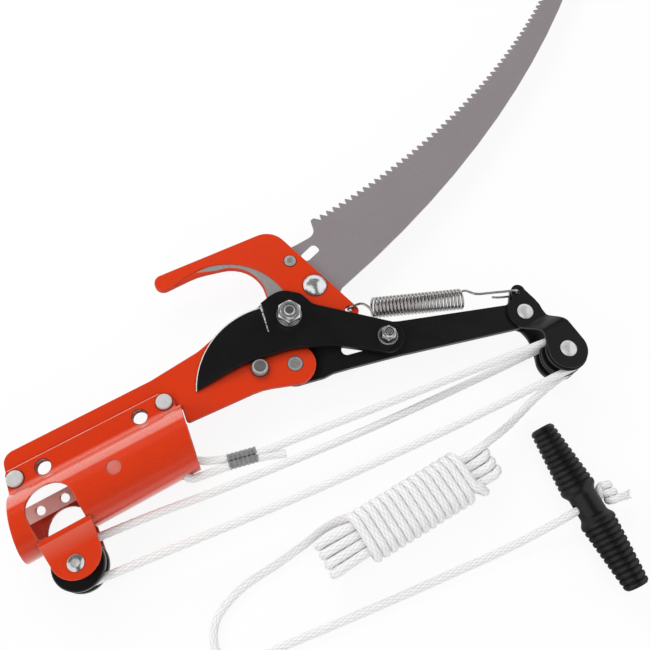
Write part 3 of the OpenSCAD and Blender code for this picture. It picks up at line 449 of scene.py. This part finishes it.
# Painted shade in the bore and on the cut walls; painted highlights on the far wall, shoulder, dent, fold
# and lip.
for mask, pale in ((times(tree, inside, 0.7), bore_shade), (far_wall, far_wall_highlight), (shoulder_sheen, shoulder_highlight),
        (dent_sheen, dent_highlight), (fold_sheen, fold_highlight), (lip_sheen, lip_highlight), (times(tree, wall, 0.6), wall_shade_orange)):
    colour = tint(tree, mask, colour, pale)
foot = zone(tree, place, Y=foot_y, Z=(flange_z, beyond))
gloss = dulled(tree, shader, gloss, calc(tree, "MAXIMUM", wall, foot))
feed(tree, shader, Base_Color=colour, Roughness=gloss)
eased_piece("rolled_socket", "pole_socket", "frame", 0.0003, socket_paint)

# Rivets, pins and axles
# Zinc plated steel rivets with low heads hold the flange, the saw, the lever and the block together.
# Their heads have small dents; those of the stop pin, lever rivet and saw rivet have a darker flat middle
# and a painted highlight round the rim.
bright_zinc, corner_shade_black = (0.82, 0.82, 0.82), (0.03, 0.029, 0.028)
middle_dark, rim_highlight, rim_width = (0.10, 0.098, 0.096), (0.88, 0.87, 0.85), 0.0005


def wear_finish(node_names, mat):
    """Gives CAD pieces, which stay as they are, their finish."""
    for name in node_names:
        nodes[name].data.materials.clear()
        nodes[name].data.materials.append(mat)


def plated_steel(name, colour, gloss, dents, metal, deep=0.6, speckle=420.0, soft_edge=0.0004, worn=0.5,
        marks=()):
    """Zinc plate, clouded to deep times its colour. A mark is a ring: centre, two radii, share, colour."""
    mat, tree, shader, place = finish(name, Metallic=metal)
    grains = effect(tree, grain, Vector=place, Cloud_Scale=speckle, Speck_Scale=2600.0)
    edges = effect(tree, wear, Vector=place, Width=0.0004, Break_Up=700.0)
    shaded_corners = effect(tree, corner_shade, Reach=0.0016)
    clouded = tuple(deep * c for c in colour)
    shade = tint(tree, spread(tree, grains["Clouds"], 0.0, 0.6), colour, clouded)
    shade = tint(tree, between(tree, edges["Mask"], 0.0, worn), shade, bright_zinc)
    # Painted shade darkens the corners.
    shade = tint(tree, between(tree, shaded_corners["Mask"], 0.0, 0.85), shade, corner_shade_black)
    for centre, inner, outer, share, mark in marks:
        shade = tint(tree, times(tree, ring(tree, place, centre, inner, outer), share), shade, mark)
    feed(tree, shader, Base_Color=shade, Roughness=spread(tree, grains["Specks"], *gloss))
    raised(tree, shader, grains["Clouds"], dents, 0.0003, soft_edge)
    return mat


flat_zinc = plated_steel("flat_zinc", (0.70, 0.705, 0.70), (0.42, 0.55), dents=0.08, metal=0.15, deep=0.8)
wear_finish(["socket_rivets"], flat_zinc)
# Each marked head gets a darker flat middle and a painted highlight on a thin ring round its rim.
marked_heads = (("stop_pin", 0.0036, 0.75), ("lever_rivet", 0.0031, 0.3), ("saw_rivet", 0.0021, 0.3))
head_marks = []
for node, radius, depth in marked_heads:
    head_marks.append((flat_mid(node), 0.0, radius, depth, middle_dark))
    head_marks.append((flat_mid(node), radius, radius + rim_width, 0.6 * depth, rim_highlight))
dark_zinc = plated_steel("dark_zinc", (0.52, 0.49, 0.48), (0.34, 0.5), dents=0.9, metal=0.4, deep=0.25,
    speckle=900.0, marks=head_marks)
wear_finish(["saw_rivet", "stop_pin", "lever_rivet"], dark_zinc)
rivet_zinc = plated_steel("rivet_zinc", (0.80, 0.795, 0.79), (0.24, 0.34), dents=0.1, metal=0.4, deep=0.7)
wear_finish(["cheek_rivet", "sheave_axle"], rivet_zinc)

# Pruning saw
# The curved saw is 1.6 mm spring steel, brushed along its length, with ground teeth. A domed bolt
# and a nut behind hold it on the plate.
saw_dark, saw_light, worn_bright = (0.295, 0.262, 0.271), (0.385, 0.345, 0.356), (0.7, 0.7, 0.7)
saw_line, saw_cloud = (0.305, 0.270, 0.282), (0.30, 0.262, 0.272)
brush_turn = math.radians(-22)
saw_steel, tree, shader, place = finish("saw_steel", Metallic=0.35)
brushed = put(tree, "Mapping", {"Vector": place, "Rotation": (0, 0, brush_turn), "Scale": (60, 900, 900)})
lines = put(tree, "TexNoise", {"Vector": brushed.outputs[0], "Scale": 1.0, "Detail": 5.0}).outputs["Fac"]
grains = effect(tree, grain, Vector=place, Cloud_Scale=30.0, Speck_Scale=1900.0)
edges = effect(tree, wear, Vector=place, Width=0.0005, Break_Up=500.0)
shade = tint(tree, spread(tree, grains["Specks"], 0.0, 1.0), saw_dark, saw_light)
shade = tint(tree, spread(tree, lines, 0.0, 0.4), shade, saw_line)
shade = tint(tree, spread(tree, grains["Clouds"], 0.0, 0.3), shade, saw_cloud)
shade = tint(tree, between(tree, edges["Mask"], 0.0, 0.6), shade, worn_bright)
feed(tree, shader, Base_Color=shade, Roughness=spread(tree, grains["Specks"], 0.46, 0.58))
raised(tree, shader, lines, 0.1, 0.0001)
wear_finish(["saw_blade"], saw_steel)

# Bolts, nuts and washers
# Bright zinc fasteners: the domed saw bolt, the pivot bolt with its washer and lock nut, and the
# link bolt with its washers and nut. The pivot bolt's end is dark inside a bright rim.
bolt_zinc = plated_steel("bolt_zinc", (0.78, 0.78, 0.785), (0.12, 0.22), dents=0.06, metal=0.88)
wear_finish(["saw_nut", "pivot_washer", "pivot_nut", "link_bolt", "link_back_washer", "link_washer",
    "link_nut", "guide_axle"], bolt_zinc)
dome_zinc = plated_steel("dome_zinc", (0.86, 0.86, 0.865), (0.16, 0.22), dents=0.02, metal=0.82, deep=0.85)
wear_finish(["saw_bolt"], dome_zinc)
pivot_rim = (flat_mid("pivot_bolt"), 0.0025, 0.01, 1.0, (0.80, 0.80, 0.80))
dark_bolt = plated_steel("dark_bolt", (0.22, 0.21, 0.205), (0.3, 0.45), dents=0.2, metal=0.7,
    marks=[pivot_rim])
wear_finish(["pivot_bolt"], dark_bolt)

# Cutting blade and lever
# The bypass blade and the joggled lever are 4 mm steel with a black non-stick coat. The blade's round
# cutting edge is ground bright through the coat.
coat_black, coat_grey, coat_worn = (0.004, 0.004, 0.0045), (0.009, 0.009, 0.0095), (0.07, 0.07, 0.07)


def black_coat(name):
    """A satin black coat, rubbed grey along its edges."""
    mat, tree, shader, place = finish(name, Specular_IOR_Level=0.3)
    grains = effect(tree, grain, Vector=place, Cloud_Scale=70.0, Speck_Scale=1700.0)
    edges = effect(tree, wear, Vector=place, Width=0.0006, Break_Up=420.0)
    shade = tint(tree, spread(tree, grains["Specks"], 0.0, 1.0), coat_black, coat_grey)
    shade = tint(tree, between(tree, edges["Mask"], 0.0, 0.5), shade, coat_worn)
    gloss = spread(tree, grains["Clouds"], 0.30, 0.42)
    feed(tree, shader, Base_Color=shade, Roughness=gloss)
    raised(tree, shader, grains["Specks"], 0.12, 0.0002, 0.0004)
    return mat, tree, shader, place, shade, gloss


# The ground land lies between two radii about the edge's centre. A streak on the end wall is ground steel
# with a painted highlight.
edge_mid, land, ground_end_x = (0.1622, 0.0007), (0.0507, 0.0600), 0.186
end_direction, end_width = (-0.9744, 0.2250), (-0.00015, 0.0008)
end_run, end_top = (0.0335, 0.0520), 0.00612
ground_bright = (0.85, 0.85, 0.84)
blade_coat, tree, shader, place, shade, gloss = black_coat("blade_coat")
from_end = past_line(tree, place, edge_mid, end_direction)
edge_land = times(tree, ring(tree, place, edge_mid, *land), within(tree, from_end, 0.0, beyond))
ripple = put(tree, "TexNoise", {"Vector": place, "Scale": 800.0, "Detail": 2.0}).outputs["Fac"]
ground_and_highlight_streak = times(tree, within(tree, from_end, *end_width), ring(tree, place, edge_mid, *end_run),
    zone(tree, place, Z=(0.0, end_top)), ramp(tree, ripple, 0.42, 0.58, 0.05, 1.0))
ground = times(tree, calc(tree, "MAXIMUM", edge_land, ground_and_highlight_streak), zone(tree, place, X=(0.0, ground_end_x)))
feed(tree, shader, Base_Color=tint(tree, ground, shade, ground_bright), Metallic=times(tree, ground, 0.4),
    Roughness=between(tree, ground, gloss, 0.34))
eased_piece("bypass_blade", "cutting_blade", "blade", 0.0003, blade_coat)
lever_coat = black_coat("lever_coat")[0]
eased_piece("joggled_lever", "lever_arm", "lever", 0.0004, lever_coat)
eased_piece("front_block_cheek", "front_cheek", "lever", 0.0003, lever_coat)
eased_piece("back_block_cheek", "back_cheek", "lever", 0.0003, lever_coat)
wear_finish(["link_spring_washer"], lever_coat)

# Sheaves and pull handle
# Injection moulded black nylon: three grooved sheaves and the ribbed handle, with a fine satin
# texture from the mould.
nylon_black, nylon_grey = (0.004, 0.004, 0.004), (0.008, 0.008, 0.008)


def black_nylon(name):
    """Moulded nylon with a satin grain."""
    mat, tree, shader, place = finish(name, Specular_IOR_Level=0.35)
    grains = effect(tree, grain, Vector=place, Cloud_Scale=90.0, Speck_Scale=2400.0)
    shade = tint(tree, spread(tree, grains["Clouds"], 0.0, 1.0), nylon_black, nylon_grey)
    feed(tree, shader, Base_Color=shade, Roughness=spread(tree, grains["Specks"], 0.28, 0.42))
    raised(tree, shader, grains["Specks"], 0.15, 0.0002, 0.0004)
    return mat


wear_finish(["front_sheave", "back_sheave", "guide_sheave"], black_nylon("sheave_nylon"))
wear_finish(["pull_handle"], black_nylon("handle_nylon"))


# Return spring
# An extension spring of 1.6 mm bright wire, hooked into the plate's eyelet and the lever's ear. In use it
# stretches between its two ends when the lever is pulled; the coil built here is fixed.
def smooth_path(points, step):
    """Points at even steps on a smooth curve through the given points, and the curve's length (metres)."""
    p = np.array(points, float)
    p = np.vstack([2 * p[0] - p[1], p, 2 * p[-1] - p[-2]])
    fine = []
    for a, b, c, d in zip(p, p[1:], p[2:], p[3:]):
        for t in np.linspace(0, 1, 10, endpoint=False):
            bend = (2 * a - 5 * b + 4 * c - d) * t * t + (3 * b - 3 * c + d - a) * t ** 3
            fine.append(b + (c - a) * t / 2 + bend / 2)
    fine.append(p[-2])
    fine = np.array(fine)
    run = np.concatenate([[0], np.cumsum(np.linalg.norm(np.diff(fine, axis=0), axis=1))])
    count = max(2, int(round(run[-1] / step)))
    at = np.linspace(0, run[-1], count + 1)
    return np.stack([np.interp(at, run, fine[:, k]) for k in range(3)], axis=1), run[-1]


def swept(name, path, skin, sides, mat):
    """A closed tube along a path; skin(turn, run) gives its radius. UV holds the turn and the run."""
    along = np.gradient(path, axis=0)
    along /= np.linalg.norm(along, axis=1)[:, None]
    side = np.cross(along[0], (0, 0, 1) if abs(along[0][2]) < 0.8 else (0, 1, 0))
    run = np.concatenate([[0], np.cumsum(np.linalg.norm(np.diff(path, axis=0), axis=1))])
    turn = np.arange(sides) / sides
    bm = bmesh.new()
    rings = []
    for point, t, s in zip(path, along, run):
        side = side - t * side.dot(t)
        side /= np.linalg.norm(side)
        other = np.cross(t, side)
        radius = skin(turn, s)
        sideways = (np.cos(2 * math.pi * turn) * radius)[:, None] * side
        upwards = (np.sin(2 * math.pi * turn) * radius)[:, None] * other
        rings.append([bm.verts.new(corner) for corner in point + sideways + upwards])
    uv = bm.loops.layers.uv.new("UVMap")
    for i in range(len(rings) - 1):
        for k in range(sides):
            m = (k + 1) % sides
            face = bm.faces.new((rings[i][k], rings[i][m], rings[i + 1][m], rings[i + 1][k]))
            face.smooth = True
            for corner, u, v in zip(face.loops, (k, k + 1, k + 1, k), (i, i, i + 1, i + 1)):
                corner[uv].uv = (u / sides, run[v])
    bm.faces.new(rings[0][::-1])
    bm.faces.new(rings[-1])
    mesh = bpy.data.meshes.new(name)
    bm.to_mesh(mesh)
    bm.free()
    mesh.materials.append(mat)
    obj = bpy.data.objects.new(name, mesh)
    bpy.context.scene.collection.objects.link(obj)
    return obj


eyelet, ear = np.array((0.220, 0.0243)), np.array((0.319, -0.017))
spring_len = np.linalg.norm(ear - eyelet)
lie = (ear - eyelet) / spring_len
wire_r, coil_r, coil_from, coil_pitch, coils = 0.0008, 0.0059, 0.0146, 0.00225, 26
coil_points, coil_start, coil_short = 16, 157.5, 7
coil_to = coil_from + coils * coil_pitch
eye_r, hook_top, hook_low, hook_reach = 0.0036, 0.0052, -0.0034, 0.003
hook_mid, hook_half = (hook_top + hook_low) / 2, (hook_top - hook_low) / 2
hook_at = spring_len - 0.00254


def on_spring(s, side, z):
    """The point at s along the spring, to one side and at a height."""
    return (*(eyelet + lie * s + np.array((-lie[1], lie[0])) * side), z)


# The eye in the plate, and the wire's rise from it to the coil.
wire_way = []
for a in range(260, 99, -20):
    s, z = eye_r + eye_r * math.cos(math.radians(a)), eye_r * math.sin(math.radians(a))
    eye_side = 0.0001 * (260 - a) / 16
    wire_way.append(on_spring(s, eye_side, z))
wire_way += [on_spring(0.0064, 0.0019, 0.0038), on_spring(0.009, 0.0015, 0.0041),
    on_spring(0.0114, -0.0004, 0.0042), on_spring(0.0132, -0.0029, 0.0038)]
# The close coils.
for i in range(coil_points * coils - coil_short):
    a = math.radians(coil_start + 360 * i / coil_points)
    s = coil_from + coil_pitch * i / coil_points
    wire_way.append(on_spring(s, coil_r * math.cos(a), coil_r * math.sin(a)))
# The straight shank and the long hook through the lever's ear.
wire_way += [on_spring(coil_to + 0.0014, coil_r * 0.82, 0.0016),
    on_spring(coil_to + 0.0034, coil_r * 0.4, 0.0042), on_spring(coil_to + 0.0054, 0.0006, hook_top)]
for s in (coil_to + 0.009, coil_to + 0.016, coil_to + 0.023, spring_len - 0.005, hook_at):
    wire_way.append(on_spring(s, 0, hook_top))
for a in np.radians(range(75, -76, -15)):
    s, z = hook_at + hook_reach * math.cos(a), hook_mid + hook_half * math.sin(a)
    wire_way.append(on_spring(s, 0, z))
wire_way += [on_spring(hook_at, 0, hook_low), on_spring(spring_len - 0.010, 0, hook_low),
    on_spring(spring_len - 0.015, 0.0005, hook_low + 0.0002)]
spring_wire = plated_steel("spring_wire", (0.62, 0.595, 0.585), (0.16, 0.28), dents=0.1, metal=0.95,
    soft_edge=0.0)
wire_step, wire_sides = 0.0009, 12


def round_wire(turn, s):
    """Plain skin of one radius."""
    return np.full(len(turn), wire_r)


spring = swept("spring_coil", smooth_path(wire_way, wire_step)[0], round_wire, wire_sides, spring_wire)
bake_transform(spring)
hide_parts("return_spring", "spring_hook")

# Rope over the sheaves
# One braided white nylon rope: from its crimped loop to the front sheave, back around the guide
# sheave and out again to the back sheave. The straight runs shorten as the lever is pulled.
rope_d, rope_step, rope_sides = 0.0046, 0.0007, 24
braid_count, braid_len, braid_depth, braid_proud = 7, 0.0052, 0.00034, 0.0001
yarn_grey, yarn_white = (0.88, 0.88, 0.875), (0.97, 0.97, 0.965)
yarn_cloud, groove_shade = (0.89, 0.875, 0.88), (0.55, 0.55, 0.55)


def braid(turn, s):
    """Radius of the braided skin: rows of raised diamond stitches."""
    first = np.abs(np.sin(math.pi * (braid_count * turn + s / braid_len)))
    second = np.abs(np.sin(math.pi * (braid_count * turn - s / braid_len)))
    return rope_d / 2 + braid_proud - braid_depth * (1 - (first * second) ** 0.6)


rope_white, tree, shader, place = finish("rope_white", Roughness=0.75, Subsurface_Weight=0.6,
    Subsurface_Radius=(1, 1, 1), Subsurface_Scale=0.002)
skin_map = put(tree, "UVMap", uv_map="UVMap").outputs[0]
threads = put(tree, "Mapping", {"Vector": skin_map, "Scale": (60, 500, 1)}).outputs[0]
fibres = put(tree, "TexNoise", {"Vector": threads, "Scale": 1.0, "Detail": 3.0}).outputs["Fac"]
grains = effect(tree, grain, Vector=place, Cloud_Scale=55.0, Speck_Scale=3000.0)
shade = tint(tree, spread(tree, fibres, 0.0, 1.0), yarn_grey, yarn_white)
shade = tint(tree, spread(tree, grains["Clouds"], 0.0, 0.25), shade, yarn_cloud)
# Painted shade: the grooves between the stitches of braid() are darkened to grey, as shade falls between
# their crowns.
on_skin = put(tree, "SeparateXYZ", {"Vector": skin_map}).outputs
crown = 1.0
for hand in (1, -1):
    slant = calc(tree, "ADD", times(tree, on_skin["X"], math.pi * braid_count),
        times(tree, on_skin["Y"], hand * math.pi / braid_len))
    crown = times(tree, crown, calc(tree, "ABSOLUTE", calc(tree, "SINE", slant)))
shade = tint(tree, ramp(tree, crown, 0.0, 0.45, 0.5, 0.0), shade, groove_shade)
feed(tree, shader, Base_Color=shade)
raised(tree, shader, fibres, 0.5, 0.0002)


def rope(name, points, skin=braid, relax=0):
    """A braided rope through the points; relax rounds ease its sharpest turns, with its ends held."""
    path = smooth_path(points, rope_step)[0]
    for _ in range(relax):
        path[1:-1] = (path[:-2] + 2 * path[1:-1] + path[2:]) / 4
    length = np.linalg.norm(np.diff(path, axis=0), axis=1).sum()
    obj = swept(name, path, skin, rope_sides, rope_white)
    return obj, path, length


turn_r, sheave_z, turn_points = 0.0103, 0.0053, 25
block, guide = (0.3185, -0.0645), (0.0205, -0.033)


def round_sheave(centre, z, start, end):
    """Points on a sheave's groove from one angle to another (degrees)."""
    angles = np.radians(np.linspace(start, end, turn_points))
    return [(centre[0] + turn_r * math.cos(a), centre[1] + turn_r * math.sin(a), z) for a in angles]


front_turn = rope("rope_front_turn", round_sheave(block, sheave_z, -96, 82))[0]
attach(front_turn, "lever")
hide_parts("rope_wrap_front")
back_turn = rope("rope_back_turn", round_sheave(block, -sheave_z, -86, 84))[0]
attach(back_turn, "rope_end")
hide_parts("rope_wrap_back")
guide_turn = rope("rope_guide_turn", round_sheave(guide, 0, 44, 264))[0]
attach(guide_turn, "frame")
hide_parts("rope_wrap_guide")


def slack_run(start, sag, end, z):
    """A run from the guide sheave to height z on the block, through the points that it sags to."""
    run_from, run_span = 0.02, 0.298
    return [(*start, 0), *((x, y, z * (x - run_from) / run_span) for x, y in sag), (*end, z)]


crimp_end = np.array((0.12877, -0.02645, 0))
crimp_turn, grip = math.radians(-13.6), 0.0006
crimp_lie = np.array((math.cos(crimp_turn), math.sin(crimp_turn), 0))
run_out_way = np.linspace(crimp_end - grip * crimp_lie, (0.31993, -0.0543, sheave_z), 8)
run_out = rope("rope_run_to_block", run_out_way)[0]
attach(run_out, "rope_out")
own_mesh(run_out)
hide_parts("rope_run_out")
sag = ((0.062, -0.0276), (0.100, -0.0334), (0.142, -0.0388), (0.200, -0.0454), (0.262, -0.0504))
second_way = slack_run((0.02158, -0.02276), sag, (0.31958, -0.05426), -sheave_z)
run_second = rope("rope_run_second_leg", second_way)[0]
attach(run_second, "rope_second")
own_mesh(run_second)
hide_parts("rope_run_second")
sag = ((0.062, -0.049), (0.101, -0.0544), (0.155, -0.0612), (0.210, -0.0668), (0.262, -0.0712))
back_way = slack_run((0.01942, -0.04324), sag, (0.31742, -0.07474), sheave_z)
run_back = rope("rope_run_back_leg", back_way)[0]
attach(run_back, "rope_back")
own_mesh(run_back)
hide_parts("rope_run_back")

# Rope loop and its crimped sleeve
# The rope's end goes around the socket's hooked corner and back through an aluminium sleeve, which is
# pressed with ribs so that it grips both strands. The cut end stands out on the other side.
crimp_mid = np.array((0.1207, -0.0245, 0))
crimp_half, strand_off, loop_grip = 0.0083, 0.0025, 0.0008
crimp_near = crimp_mid - crimp_half * crimp_lie
across = strand_off * np.array((-math.sin(crimp_turn), math.cos(crimp_turn), 0))
loop_way = [crimp_near - across + loop_grip * crimp_lie, crimp_near - across - 0.004 * crimp_lie,
    (0.096, -0.0219, -0.0006), (0.0906, -0.0204, -0.0006), (0.0889, -0.0168, 0), (0.0914, -0.0134, 0.0008),
    (0.097, -0.0132, 0.001), (0.103, -0.0164, 0.0006), crimp_near + across - 0.003 * crimp_lie,
    crimp_near + across + loop_grip * crimp_lie]
loop = rope("rope_loop", loop_way)[0]
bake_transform(loop)
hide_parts("rope_anchor_loop")
cut_end_way = [crimp_end - across - loop_grip * crimp_lie, crimp_end - across + 0.004 * crimp_lie,
    (0.1382, -0.0321, -0.0007), (0.1432, -0.0341, -0.0012)]
cut_end = rope("rope_cut_end", cut_end_way)[0]
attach(cut_end, "rope_out")
sleeve_metal = plated_steel("sleeve_metal", (0.46, 0.455, 0.46), (0.3, 0.45), dents=0.1, metal=0.5,
    worn=0.15)
wear_finish(["crimp_sleeve"], sleeve_metal)

# Free rope with its hank
# From the back sheave the rope runs into a hank: four long loops side by side, wrapped around with
# thirteen turns. Its other end runs over the table, through the handle's cross hole, into a knot.
hank_loops, wraps, strand_gap = 4, 13, 0.0006
pitch = rope_d + strand_gap
# Half the width and height of a wrap, which lies a hair outside the loops.
half_w, half_h, hank_lift = 2.5 * pitch + 0.0002, 1.5 * pitch + 0.0003, 0.0004
hank_mid = np.array((0.190, -0.095, table_z + half_h + rope_d / 2 + hank_lift))
loop_reach, bight, run_steps, bight_angles = 0.0514, 0.0046, 7, (36, 72, 108, 144)
fan_from, fan_run, fan_share = 0.034, 0.020, 0.10
rise_from, rise_run, rise_share = 0.033, 0.013, 0.38


def ease(x):
    """A smooth rise from 0 to 1."""
    c = max(0.0, min(1.0, x))
    return c * c * (3 - 2 * c)


def fan(u):
    """How far the loops spread sideways outside the wraps."""
    return 1 + fan_share * ease((abs(u) - fan_from) / fan_run)


def rise(u):
    """Height of a loop's upper run over the hank's middle, which opens outside the wraps."""
    return pitch * (0.5 + rise_share * ease((abs(u) - rise_from) / rise_run))


def in_hank(u, v, w):
    """A point along, across and over the hank."""
    return tuple(hank_mid + (u, v, w))


hank_way = []
for i in range(hank_loops):
    last = i == hank_loops - 1
    column, following = (1.5 - i) * pitch, (0.5 - i) * pitch
    for k in range(run_steps + 1):
        u = loop_reach * (1 - 2 * k / run_steps)
        hank_way.append(in_hank(u, column * fan(u), rise(u)))
    for a in bight_angles:
        u = -loop_reach - bight * math.sin(math.radians(a))
        hank_way.append(in_hank(u, column * fan(u), rise(loop_reach) * math.cos(math.radians(a))))
    for k in range(run_steps - 1 if last else run_steps + 1):
        u = loop_reach * (2 * k / run_steps - 1)
        hank_way.append(in_hank(u, column * fan(u), -rise(u)))
    for a in () if last else bight_angles:
        u = loop_reach + bight * math.sin(math.radians(a))
        v = (column + (following - column) * a / 180) * fan(u)
        hank_way.append(in_hank(u, v, -rise(loop_reach) * math.cos(math.radians(a))))
# The rope climbs beside the last loop and turns back over the hank to wrap it.
for u, v, w in ((37.5, 4.6, -3.1), (41.2, 2.4, -2.6), (42.4, -0.3, 0.2), (41, 0.2, 4.2)):
    hank_way.append(in_hank(u / 1000, v / 1000 - half_w, w / 1000))
hank_way.append(in_hank(0.0386, 0.0034 - half_w, half_h - 0.0003))
# One wrap is a flat ring with round corners, told by its top right quarter.
corner_r, wrap_from, wrap_early, wrap_late = half_h - 0.0021, 0.036, 2, 7
quarter = [(0, half_h)]
for a in np.radians((90, 67.5, 45, 22.5, 0)):
    quarter.append((half_w - corner_r + corner_r * math.cos(a), half_h - corner_r + corner_r * math.sin(a)))
wrap_ring = quarter + [(half_w, 0)] + [(v, -w) for v, w in quarter[:0:-1]] + [(0, -half_h)]
wrap_ring += [(-v, -w) for v, w in quarter[1:]] + [(-half_w, 0)] + [(-v, w) for v, w in quarter[:0:-1]]
wrap_points = len(wrap_ring)
for j in range(-wrap_early, wrap_points * wraps + wrap_late):
    v, w = wrap_ring[j % wrap_points]
    hank_way.append(in_hank(wrap_from - pitch * j / wrap_points, v, w))

floor_z = table_z + rope_d / 2
handle_mid = (0.2805, -0.1444, table_z + 0.0105)
tail_way = [(0.31922, -0.07477, -0.0053), (0.306, -0.0757, -0.0054), (0.292, -0.0776, -0.0076),
    (0.278, -0.0808, -0.0084), (0.266, -0.0836, -0.0076), (0.251, -0.0856, -0.005)]
on_floor = ((141, -79.4), (130, -81), (110, -82.8), (87, -84.2), (68.5, -91.4), (61, -104.5),
    (65.5, -115.5), (76, -119.6), (92, -121), (124, -126.2), (156, -131.2), (190, -136), (223, -140.6))
lead_way = [(0.150, -0.0796, -0.0154)] + [(x / 1000, y / 1000, floor_z) for x, y in on_floor]
lead_way += [(0.248, -0.1429, -0.013), (0.266, -0.1439, -0.0084), handle_mid]
lead_way.append((handle_mid[0] + 0.009, *handle_mid[1:]))
wound_from = smooth_path(tail_way, 0.001)[1]
wound_to = smooth_path(tail_way + hank_way, 0.001)[1]
swell, swell_run = 0.00034, 0.02


def wound(turn, s):
    """Braided skin that swells by a third of a millimetre where the rope is wound slack into the hank."""
    return braid(turn, s) + swell * ease((s - wound_from) / swell_run) * ease((wound_to - s) / swell_run)


free_rope, path, length = rope("free_rope", tail_way + hank_way + lead_way, skin=wound, relax=10)
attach(free_rope, "rope_end")
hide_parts("rope_tail", "rope_hank", "rope_lead")

# Knot
# A stopper knot of two tight turns keeps the rope's end from slipping back through the handle. The
# last millimetres of the braid are frayed into loose yarns.
knot_mid, knot_r, knot_pitch, knot_start = (0.2956, -0.1398, -0.0083), 0.00275, 0.0047, 150
yarn_count, yarn_spread, yarn_root_r, yarn_tip_r = 14, 0.0021, 0.0005, 0.00028
yarn_turn, yarn_sunk = 2.4, 0.0006
knot_way = [(0.289, -0.1444, -0.0083), (0.2898, -0.1436, -0.0079), (0.2910, -0.1412, -0.0070)]
for a in range(knot_start, -631, -30):
    x, z = knot_r * math.cos(math.radians(a)), knot_r * math.sin(math.radians(a))
    y = -knot_pitch * (knot_start - a) / 360
    knot_way.append((knot_mid[0] + x, knot_mid[1] + y, knot_mid[2] + z))
knot_way += [(0.2986, -0.1504, -0.0066), (0.3016, -0.1511, -0.0088), (0.3050, -0.1519, -0.0102)]
knot, knot_path = rope("end_knot", knot_way)[:2]
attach(knot, "rope_end")
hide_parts("rope_knot")
yarns = bmesh.new()
tip, end_lie = knot_path[-1], knot_path[-1] - knot_path[-4]
end_lie = end_lie / np.linalg.norm(end_lie)
for k in range(yarn_count):
    angle, root_r = yarn_turn * k, yarn_spread * math.sqrt((k + 0.5) / yarn_count)
    side = np.array((0.45 * math.cos(angle), 0.75 * math.cos(angle), math.sin(angle)))
    yarn_run = 0.0028 + 0.0012 * math.sin(5.0 * k)
    lean = end_lie * yarn_run + side * root_r * 0.7
    turned = Vector((0, 0, 1)).rotation_difference(Vector(lean)).to_matrix().to_4x4()
    middle = tip - end_lie * yarn_sunk + side * root_r + lean / 2
    bmesh.ops.create_cone(yarns, cap_ends=True, segments=6, radius1=yarn_root_r, radius2=yarn_tip_r,
        depth=float(np.linalg.norm(lean)), matrix=Matrix.Translation(middle) @ turned)
# The yarns' UV is all zero, so they take the rope's painted groove shade at half strength.
yarns.loops.layers.uv.new("UVMap")
frayed_mesh = bpy.data.meshes.new("frayed_end")
yarns.to_mesh(frayed_mesh)
yarns.free()
frayed_mesh.materials.append(rope_white)
frayed = bpy.data.objects.new("frayed_end", frayed_mesh)
bpy.context.scene.collection.objects.link(frayed)
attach(frayed, "rope_end")
